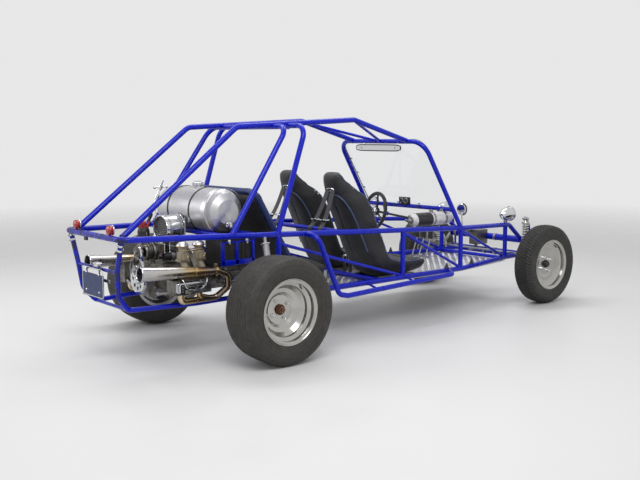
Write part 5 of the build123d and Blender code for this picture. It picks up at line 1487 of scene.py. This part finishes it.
def breather_trim():
    """The breather barrel's rolled lips, mesh over a black disc sunk in its opening as painted shade, and two
    straps.
    """
    barrel, forward, mouth_r = at(-0.310, 0, 0.800), (1, 0, 0), 0.0835
    lips = [torus(barrel + (way * 0.0655, 0, 0), forward, 0.0925, 0.0042, 64, 10) for way in (-1, 1)]
    places = [barrel + (offset, 0, 0) for offset in (-0.038, 0.038)]
    straps = [collar(place, forward, 0.0942, 0.0962, -0.006, 0.006, 72) for place in places]
    # Painted shade: a black disc inside the barrel stands for its dark inside.
    mouth = turned([(0, mouth_r), (0.003, mouth_r)], barrel - (0.036, 0, 0), forward, 56)
    wires = []
    for step in np.linspace(-0.072, 0.072, 13):
        reach = sqrt((mouth_r + 0.001) ** 2 - step**2)
        wires.append(rod(barrel + (-0.052, step, -reach), barrel + (-0.052, step, reach), 0.0012, 6))
        wires.append(rod(barrel + (-0.0545, -reach, step), barrel + (-0.0545, reach, step), 0.0012, 6))
    piece("breather_lips", lips, chrome)
    piece("breather_straps", straps, steel)
    piece("breather_shade_disc", mouth, plastic)
    piece("breather_mesh", wires, steel)


def driveline_trim():
    """Ribbed rubber boots with their clamps on each drive shaft, and flange bolts on the gearbox."""
    rows = np.linspace(0, 1, 57)
    boot_r = 0.0415 - 0.0190 * rows + 0.0032 * np.cos(rows * TURN * 6)
    boot = np.stack([0.026 + rows * 0.072, boot_r], -1)
    for side_name, side in SIDES:
        inner, outer = at(0, side * 0.174, 0.470), at(0, side * 0.570, 0.338)
        axis = unit(outer - inner)
        boots, clamps = [], []
        for origin, way in ((inner, axis), (outer, -axis)):
            boots.append(turned(boot, origin, way, 40))
            clamps.append(collar(origin, way, 0.0150, 0.0245, 0.098, 0.106))
            clamps.append(collar(origin, way, 0.0360, 0.0450, 0.018, 0.026, 44))
        piece(f"shaft_boots_{side_name}", boots, plastic, f"drive_shaft_{side_name}")
        piece(f"shaft_boot_clamps_{side_name}", clamps, steel, f"drive_shaft_{side_name}")
    heads = [bolt_heads(0.014, 0.009, ring_of(10, 0.104, at(-0.205, 0, 0.484), (1, 0, 0), 0.2), (1, 0, 0))]
    for side in (-1, 1):
        outward = (0, side, 0)
        flange = ring_of(8, 0.052, at(0, side * 0.150, 0.470), outward, 0.3)
        heads.append(bolt_heads(0.014, 0.009, flange, outward))
    piece("gearbox_bolts", heads, steel)


engine_bolts()
pulley_trim()
ignition_trim()
carburettor_trim()
exhaust_trim()
breather_trim()
driveline_trim()


# Welds, tabs and clamps on the tube frame
def weld(point, tube_axis, branch_axis, branch_r, main_r):
    """A rippled weld bead where a branch tube meets a main one: the saddle line of the two cylinders."""
    main, branch = unit(tube_axis), unit(branch_axis)
    up = unit(branch - main * np.dot(branch, main))
    side = np.cross(main, up)
    turn = around(60)
    reach = branch_r * 1.02
    slant = np.dot(branch, main) / max(np.dot(branch, up), 0.2)
    y = reach * np.sin(turn)
    x = reach * np.cos(turn) / max(np.dot(branch, up), 0.35)
    height = np.sqrt(np.maximum((main_r * 1.01) ** 2 - y**2, (main_r * 0.35) ** 2))
    path = np.asarray(point) + (x + height * slant)[:, None] * main + y[:, None] * side + height[:, None] * up
    bead = 0.0031 + 0.0005 * np.cos(turn * 20)
    return tube(path, bead, 6, True, up)


def frame_welds():
    """Beads at the frame's visible joints: each row is a place on the main tube and the two tubes there."""
    main_r, brace_r, stay_r = main_tube_r, brace_tube_r, stay_tube_r
    rail, level, across, upright, down = (1, 0, -0.0484), (1, 0, 0), (0, 1, 0), (0, 0, 1), (0, 0, -1)
    roof_slope = (1, 0, 0.0508)
    hoop_top_z = roof_height(0.323) - 0.014
    beads = []
    for side in (-1, 1):
        inward, outward = (0, -side, 0), (0.012, side, 0)
        # columns: station, width, height, main axis, branch axis, branch radius, main radius
        rows = [
            (1.370, cabin_w, rail_height(1.370), rail, down, brace_r, main_r),
            (0.217, cabin_w, rail_height(0.217), rail, down, brace_r, main_r),
            (screen_foot_s, cabin_w, screen_foot_z, rail, down, brace_r, main_r),
            (1.370, cabin_w, lower_rail_z, level, upright, brace_r, main_r),
            (screen_foot_s, cabin_w, lower_rail_z, level, upright, brace_r, main_r),
            (nose_post_s, nose_w, lower_rail_z + 0.006, level, upright, brace_r, main_r),
            (flare_s, cabin_w, flare_z, rail, (0.476, -side * 0.034, 0.671), main_r, main_r),
            (0.209, cabin_w, rail_height(0.209), rail, (0.235, side * 0.012, 0.71), main_r, main_r),
            (screen_foot_s, cabin_w, screen_foot_z, rail, (-0.416, -side * 0.02, 0.682), main_r, main_r),
            (0.440, cabin_w, rail_height(0.440), rail, outward, branch_tube_r, main_r),
            (1.880, cabin_w, lower_rail_z, level, (-0.09, side * 0.12, -0.007), branch_tube_r, main_r),
            (1.924, 0.494, 0.829, (-0.416, 0, 0.682), inward, brace_r, main_r),
            (0.735, cabin_w, rail_height(0.735), rail, inward, brace_r, main_r),
            (1.150, cabin_w, lower_rail_z, level, inward, brace_r, main_r),
            (0.234, cabin_w, 0.700, upright, (1.136, 0, -0.333), stay_r, brace_r),
            (1.370, cabin_w, 0.690, upright, (0.646, 0, -0.327), stay_r, brace_r),
            (1.000, cabin_w, lower_rail_z, level, (0, side, -0.16), stay_r, main_r),
            (1.400, cabin_w, lower_rail_z, level, (0, side, -0.1), stay_r, main_r),
            (-0.816, 0.318, 0.806, across, (0.848, -0.013 * side, 0.662), main_r, main_r),
            (0.323, 0.466, hoop_top_z, across, (-0.476, side * 0.034, -0.671), main_r, main_r * 0.9),
            (*roof_front_place, roof_slope, (0.544, -side * 0.293, -0.154), stay_r, main_r),
        ]
        for station, width, height, axis, branch, branch_r, tube_r in rows:
            beads.append(weld(at(station, side * width, height), axis, branch, branch_r, tube_r))
    piece("frame_weld_beads", beads, blue_paint)


def whip_fitting():
    """The tall fitting on the left rail: a black base, a stepped chrome post and a cross bar with knobs."""
    foot, lean = at(-0.197, 0.494, rail_height(flare_s) + main_tube_r), unit((0.43, 0, 1))
    base = [(0, 0.019), (0.004, 0.019), (0.006, 0.012), (0.030, 0.011), (0.034, 0.014), (0.060, 0.014),
            (0.064, 0.009)]
    post = [(0.060, 0.0085), (0.170, 0.0085), (0.173, 0.015), (0.205, 0.015), (0.209, 0.010), (0.245, 0.010),
            (0.248, 0.014), (0.276, 0.014), (0.280, 0.008), (0.318, 0.0075), (0.322, 0.003)]
    knob = [(0, 0.008), (0.010, 0.0095), (0.016, 0.006), (0.017, 0.001)]
    tee = foot + lean * 0.262
    parts = [turned(post, foot, lean, 24), rod(tee - (0.042, 0, 0), tee + (0.042, 0, 0), 0.0042, 12)]
    for way in (1, -1):
        parts.append(turned(knob, tee + (way * 0.040, 0, 0), (way, 0, 0), 18))
    piece("whip_base", turned(base, foot, lean, 28), plastic)
    piece("whip_post", parts, chrome)


def frame_clamps():
    """Chrome collars on the rear cage, and black tabs under the rear bar and on the lower rails."""
    collars, tabs = [], []
    for side in (-1, 1):
        top, foot = at(-0.838, side * 0.360, 0.800), at(-0.830, side * 0.275, 0.594)
        axis = unit(foot - top)
        for distance in (0.030, 0.062):
            place = top + axis * distance
            collars.append(collar(place, axis, 0.0160, 0.0205, 0, 0.013))
            collars.append(bolt_heads(0.010, 0.006, place + axis * 0.006 - (0.0205, 0, 0), (-1, 0, 0)))
        for station, width in ((1.857, cabin_w), (2.190, 0.467)):
            seat = at(station, side * width, lower_rail_z + main_tube_r - 0.004)
            tabs.append(turned([(0, 0.024), (0.006, 0.024), (0.046, 0.005)], seat, (0, 0, 1), 4))
    tabs.append(rounded_box(at(-0.851, 0.10, 0.774), (0.012, 0.040, 0.030), 0.002, 2))
    piece("frame_collars", collars, chrome)
    piece("frame_black_tabs", tabs, plastic)


frame_welds()
frame_clamps()
whip_fitting()


# Floor plate
def floor_bars():
    """Raised bars in the crossed pattern of tread plate: each a low six-sided lens, turned by its place."""
    top_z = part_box("floor_pan")[1].z
    pitch, start_s, start_w = 0.036, 0.612, -0.486
    widest, taper_s, taper_length, taper_w = 0.484, 2.006, 0.729, 0.137
    rows, columns = np.indices((59, 28))
    station, width = start_s + rows * pitch, start_w + columns * pitch
    limit = widest - np.maximum(station - taper_s, 0) / taper_length * taper_w
    kept = np.abs(width) < limit
    places = np.stack([rear_axle_x + station, width, np.full(width.shape, top_z - 0.0002)], -1)[kept]
    odd = ((rows + columns) % 2 == 1)[kept]
    half_bar = [(-0.007, -0.0036), (0.007, -0.0036), (0.014, 0)]
    corner = np.array([*half_bar, *(np.array(half_bar) * -1)])
    bars = []
    for angle, chosen in ((pi / 4, odd), (-pi / 4, ~odd)):
        flat = corner @ np.array([(cos(angle), sin(angle)), (-sin(angle), cos(angle))])
        bar = skin(np.stack([np.c_[flat, np.zeros(6)], np.c_[flat * 0.62, np.full(6, 0.0019)]]))
        bars.append(copies(bar, places[chosen]))
    piece("floor_tread_bars", bars, plate_metal)
    rivet = [(0, 0.007), (0.0016, 0.0066), (0.0034, 0.0040), (0.0040, 0.0008)]
    rivets = [at(station, side * 0.474, top_z) for side in (-1, 1) for station in np.arange(0.66, 2.0, 0.16)]
    piece("floor_rivets", copies(turned(rivet, steps=14), rivets), steel)


# Screen
def screen_trim():
    """A black edge strip round the clear sheet and the screws that hold it to the hoop."""
    hoop_top = at(1.600, 0, 1.364)
    rise, length = unit(hoop_top - dash_bar), np.linalg.norm(hoop_top - dash_bar)
    out = np.array([rise[2], 0, -rise[0]])
    sheet = dash_bar + out * 0.0195
    half, radius = 0.475, 0.110
    turn = np.linspace(0, pi / 2, 20)
    bend = np.stack([half - radius + radius * np.cos(turn), length - radius + radius * np.sin(turn)], -1)
    edge = np.concatenate([[(half, 0.0), (half, 0.12), (half, 0.24)], bend])
    outline = np.concatenate([edge, edge[::-1] * (-1, 1)])
    path = sheet + outline[:, 1:2] * rise + outline[:, 0:1] * np.array([0, 1, 0])
    path[:, 2] = np.minimum(path[:, 2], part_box("windshield")[1].z + 0.002)
    piece("screen_edge_strip", tube(path, 0.0042, 8, up=out), plastic)
    spots = [(across, 0.016) for across in (-0.36, -0.12, 0.12, 0.36)]
    spots += [(side * 0.460, height) for height in (0.15, 0.30, 0.44) for side in (-1, 1)]
    heads = [sheet + out * 0.003 + rise * height + (0, across, 0) for across, height in spots]
    knob = [(-0.001, 0.0085), (0.003, 0.0085), (0.005, 0.006), (0.0055, 0.001)]
    piece("screen_screws", copies(turned(knob, steps=16), heads, out), chrome)


# Fuel tank
def tank_trim():
    """End-cap seams, side bosses, filler cap with its grips and lever, and strap tensioners."""
    centre, radius, upward = at(-0.085, 0, 0.9195), 0.150, (0, 0, 1)
    boss = [(0, 0.024), (0.006, 0.022), (0.008, 0.015), (0.018, 0.014), (0.020, 0.009), (0.026, 0.009)]
    seam = [(-0.0018, radius - 0.0005), (0, radius + 0.0011), (0.0018, radius - 0.0005)]
    lid = [(-0.022, 0.0345), (-0.020, 0.037), (-0.002, 0.037), (0, 0.0345), (0.0022, 0.020), (0.0026, 0.002)]
    seams, fittings, tensioners = [], [], []
    for way in (-1, 1):
        for offset in (0.318, 0.326):
            seams.append(turned(seam, centre + (0, way * offset, 0), (0, 1, 0), 90, True))
        fittings.append(turned(boss, centre + (0, way * 0.3705, -0.085), (0, way, 0), 28))
    cap = centre * (1, 1, 0) + (0, 0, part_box("fuel_tank")[1].z)
    fittings.append(turned(lid, cap, upward, 48))
    grip = rounded_box((0, 0, 0), (0.004, 0.006, 0.016), 0.0015, 2)
    fittings.append(copies(grip, ring_of(18, 0.0372, cap - (0, 0, 0.011), upward)))
    fittings.append(rounded_box(cap + (0, 0, 0.0045), (0.050, 0.010, 0.006), 0.002, 2))
    flange = centre + (0, 0, radius + 0.001)
    fittings.append(bolt_heads(0.008, 0.004, ring_of(6, 0.0405, flange, upward, 0.3)))
    for width in (-0.120, 0.150):
        for way in (-1, 1):
            spot = centre + (way * (radius + 0.004) * 0.94, width, -0.060)
            tensioners.append(rounded_box(spot, (0.012, 0.020, 0.030), 0.002, 2))
            tensioners.append(bolt_heads(0.009, 0.010, spot + (0, 0, 0.014)))
    piece("tank_seams", seams, spun_aluminium)
    piece("tank_cap_and_fittings", fittings, chrome)
    piece("tank_strap_tensioners", tensioners, steel)


# Lamps and plate at the back
def rear_lamps():
    """Each tail lamp's chrome rim and its domed red lens with three raised rings."""
    dome = [(0, 0.0285), (0.004, 0.0275), (0.009, 0.0225), (0.0125, 0.013), (0.0135, 0.002)]
    rims, lenses = [], []
    for side in (-1, 1):
        face = at(-0.834, side * 0.235, 0.848)
        rims.append(torus(face - (0.001, 0, 0), (1, 0, 0), 0.0295, 0.0030, 48, 10))
        lenses.append(turned(dome, face - (0.0005, 0, 0), (-1, 0, 0), 44))
        for radius in (0.010, 0.018, 0.0245):
            depth = 0.0135 - 0.01054 * (radius / 0.0285) ** 2.4
            lenses.append(torus(face - (depth, 0, 0), (1, 0, 0), radius, 0.0011, 44, 6))
    piece("tail_lamp_rims", rims, chrome)
    piece("tail_lamp_lenses", lenses, red_lens)


def plate_trim():
    """The blank plate's raised white edge, four bolts, its bracket and the clear lamp over it."""
    low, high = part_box("number_plate")
    middle = (np.array(low) + np.array(high)) / 2
    half_y, half_z = (high.y - low.y) / 2 - 0.006, (high.z - low.z) / 2 - 0.006
    face = np.array([low.x, middle[1], middle[2]])
    edge = squared_ring(face, half_y, half_z, 0.10, 0.14, 128)
    piece("plate_edge", tube(edge, 0.0024, 8, True, (1, 0, 0)), white_enamel)
    heads = [face + (0, aside, rise) for aside in (-0.09, 0.09) for rise in (-0.056, 0.056)]
    piece("plate_bolts", bolt_heads(0.010, 0.004, heads, (-1, 0, 0)), chrome)
    lamp = np.array([high.x + 0.010, middle[1], high.z + 0.014])
    piece("plate_lamp_case", rounded_box(lamp, (0.036, 0.070, 0.022), 0.006, 3), chrome)
    pane = rounded_box(lamp - (0.004, 0, 0.010), (0.030, 0.056, 0.010), 0.004, 3)
    piece("plate_lamp_glass", pane, clear_white)
    bracket = [
        rounded_box((high.x + 0.004, middle[1], middle[2] + 0.02), (0.008, 0.36, 0.020), 0.002, 2),
        rounded_box((high.x + 0.004, middle[1], high.z - 0.002), (0.008, 0.030, 0.030), 0.002, 2),
    ]
    piece("plate_bracket", bracket, steel)


# Battery box and dash fittings
def box_trim():
    """The battery box's lid with its lip, ribs, latches and blue edge strips."""
    low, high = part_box("battery_box")
    middle = (np.array(low) + np.array(high)) / 2
    length, depth, tall = np.array(high) - np.array(low)
    face_y, lid_z, side_z = low.y, high.z - 0.012, middle[2] - 0.012
    parts = [rounded_box((middle[0], middle[1], lid_z), (length + 0.008, depth + 0.008, 0.022), 0.004, 3)]
    for share in np.linspace(-0.40, 0.40, 7):
        rib = (middle[0] + share * length, face_y - 0.0005, side_z)
        parts.append(rounded_box(rib, (0.007, 0.006, tall * 0.72), 0.002, 2))
    latches = []
    for share in (-0.28, 0.28):
        x = middle[0] + share * length
        latches.append(rounded_box((x, face_y - 0.0045, high.z - 0.030), (0.020, 0.005, 0.040), 0.002, 2))
        latches.append(bolt_heads(0.007, 0.004, (x, face_y - 0.006, high.z - 0.040), (0, -1, 0)))
    edges = [
        rounded_box((middle[0], face_y - 0.002, low.z + 0.018), (length + 0.008, 0.012, 0.036), 0.003, 2),
        rounded_box((middle[0], face_y - 0.002, high.z - 0.034), (length + 0.006, 0.010, 0.012), 0.003, 2),
    ]
    for x in (low.x + 0.004, middle[0] - 0.010, high.x - 0.004):
        edges.append(rounded_box((x, face_y - 0.003, side_z), (0.026, 0.010, tall - 0.030), 0.003, 2))
    piece("battery_box_lid_and_ribs", parts, plastic)
    piece("battery_box_latches", latches, chrome)
    piece("battery_box_blue_edges", edges, blue_paint)


def dash_trim():
    """A small framed gauge pod by the steering wheel and two switch levers on the dash bar."""
    pod = dash_bar + (0, 0.020, 0)
    switch = [(0, 0.0095), (0.006, 0.0095), (0.007, 0.0035), (0.020, 0.0030), (0.026, 0.0055),
              (0.032, 0.0050), (0.034, 0.002)]
    cases = [
        rounded_box(pod + (-0.014, 0, 0.044), (0.030, 0.112, 0.058), 0.006, 3),
        rounded_box(pod + (-0.006, 0, 0.012), (0.024, 0.060, 0.022), 0.003, 2),
    ]
    dials = [pod + (-0.0295, offset, 0.044) for offset in (-0.026, 0.026)]
    rims = [torus(dial, (1, 0, 0), 0.0205, 0.0018, 40, 8) for dial in dials]
    bases = [dash_bar + (-0.016, offset, 0.002) for offset in (0.120, -0.140)]
    levers = [turned(switch, base, (-0.9, 0, 0.4), 18) for base in bases]
    piece("dash_gauge_pod", cases, plastic)
    piece("dash_gauge_rims", rims, chrome)
    piece("dash_switches", levers, plastic)


floor_bars()
screen_trim()
tank_trim()
rear_lamps()
plate_trim()
box_trim()
dash_trim()


# Camera where the photograph was taken from, and the photograph's lens
def photograph_camera():
    """The camera at its place, turned to its azimuth and elevation and rolled about its own axis."""
    azimuth, elevation, roll = radians(-39.652), radians(7.0), radians(-0.198)
    camera = bpy.data.objects.new("camera", bpy.data.cameras.new("camera"))
    camera.data.sensor_width = 36
    camera.data.lens = 48.39
    camera.location = (-4.323, -4.993, 1.416)
    ahead = Vector((-sin(azimuth) * cos(elevation), cos(azimuth) * cos(elevation), -sin(elevation)))
    rolled = Matrix.Rotation(roll, 3, "Z").to_quaternion()
    camera.rotation_euler = (ahead.to_track_quat("-Z", "Y") @ rolled).to_euler()
    bpy.context.scene.collection.objects.link(camera)
    bpy.context.scene.camera = camera


def studio_floor():
    """A pale floor, clear far from the car so that it fades into the surround."""
    reach = 40
    corners = [(-reach, -reach, 0), (reach, -reach, 0), (reach, reach, 0), (-reach, reach, 0)]
    mesh = bpy.data.meshes.new("floor")
    mesh.from_pydata(corners, [], [(0, 1, 2, 3)])
    floor = bpy.data.objects.new("floor", mesh)
    bpy.context.scene.collection.objects.link(floor)
    ground = Finish("studio_floor", (0.74, 0.74, 0.74), 0.55)
    ground.uneven_gloss(3, 3, 0.3, 0.7, 0.42, 0.55)
    length = ground.node("ShaderNodeVectorMath", operation="LENGTH")
    ground.feed(length, {0: ground.place})
    fade = ground.range(length.outputs["Value"], 5.0, 12.0)
    clear_far = ground.node("ShaderNodeBsdfTransparent")
    blend = ground.node("ShaderNodeMixShader")
    ground.feed(blend, {0: fade, 1: ground.shader.outputs[0], 2: clear_far.outputs[0]})
    out = next(n for n in ground.tree.nodes if n.type == "OUTPUT_MATERIAL")
    ground.tree.links.new(blend.outputs[0], out.inputs[0])
    mesh.materials.append(ground.material)


def surround():
    """A pale surround for the camera, bright metal and clear sheet, and a weaker white light for the rest."""
    world = bpy.data.worlds.new("surround")
    bpy.context.scene.world = world
    world.use_nodes = True
    tree = world.node_tree
    tree.nodes.clear()

    def made(kind, *inputs, **values):
        node = tree.nodes.new(kind)
        for name, value in values.items():
            setattr(node, name, value)
        for socket, value in zip(node.inputs, inputs):
            if isinstance(value, bpy.types.NodeSocket):
                tree.links.new(value, socket)
            else:
                socket.default_value = value
        return node

    rays = tree.nodes.new("ShaderNodeLightPath").outputs
    straight_on = made("ShaderNodeMath", rays["Is Camera Ray"], rays["Is Glossy Ray"], operation="MAXIMUM")
    seen = made("ShaderNodeMath", straight_on.outputs[0], rays["Is Transmission Ray"], operation="MAXIMUM")
    soft = made("ShaderNodeBackground", (1, 1, 1, 1), 0.55)
    pale = made("ShaderNodeBackground", (0.80, 0.80, 0.80, 1), 1.0)
    both = made("ShaderNodeMixShader", seen.outputs[0], soft.outputs[0], pale.outputs[0])
    made("ShaderNodeOutputWorld", both.outputs[0])


def soft_lamps():
    """One broad lamp in front, one above and a weaker one at the side."""
    # columns: name, place, aim, width, length, power
    for name, place, aim, width, length, power in (
        ("key_lamp", (-2.5, -3.0, 4.2), (0, 0, 0.5), 3.0, 2.0, 105),
        ("top_lamp", (0.5, 1.0, 4.5), (0, 0, 0.5), 5.0, 1.2, 90),
        ("side_lamp", (-5.0, 3.0, 2.5), (0, 0, 0.6), 2.0, 2.0, 50),
    ):
        lamp = bpy.data.objects.new(name, bpy.data.lights.new(name, "AREA"))
        lamp.data.shape = "RECTANGLE"
        lamp.data.size = width
        lamp.data.size_y = length
        lamp.data.energy = power
        lamp.location = place
        lamp.rotation_euler = (Vector(aim) - Vector(place)).to_track_quat("-Z", "Y").to_euler()
        bpy.context.scene.collection.objects.link(lamp)


bpy.context.scene.view_settings.view_transform = "Standard"
photograph_camera()
studio_floor()
surround()
soft_lamps()
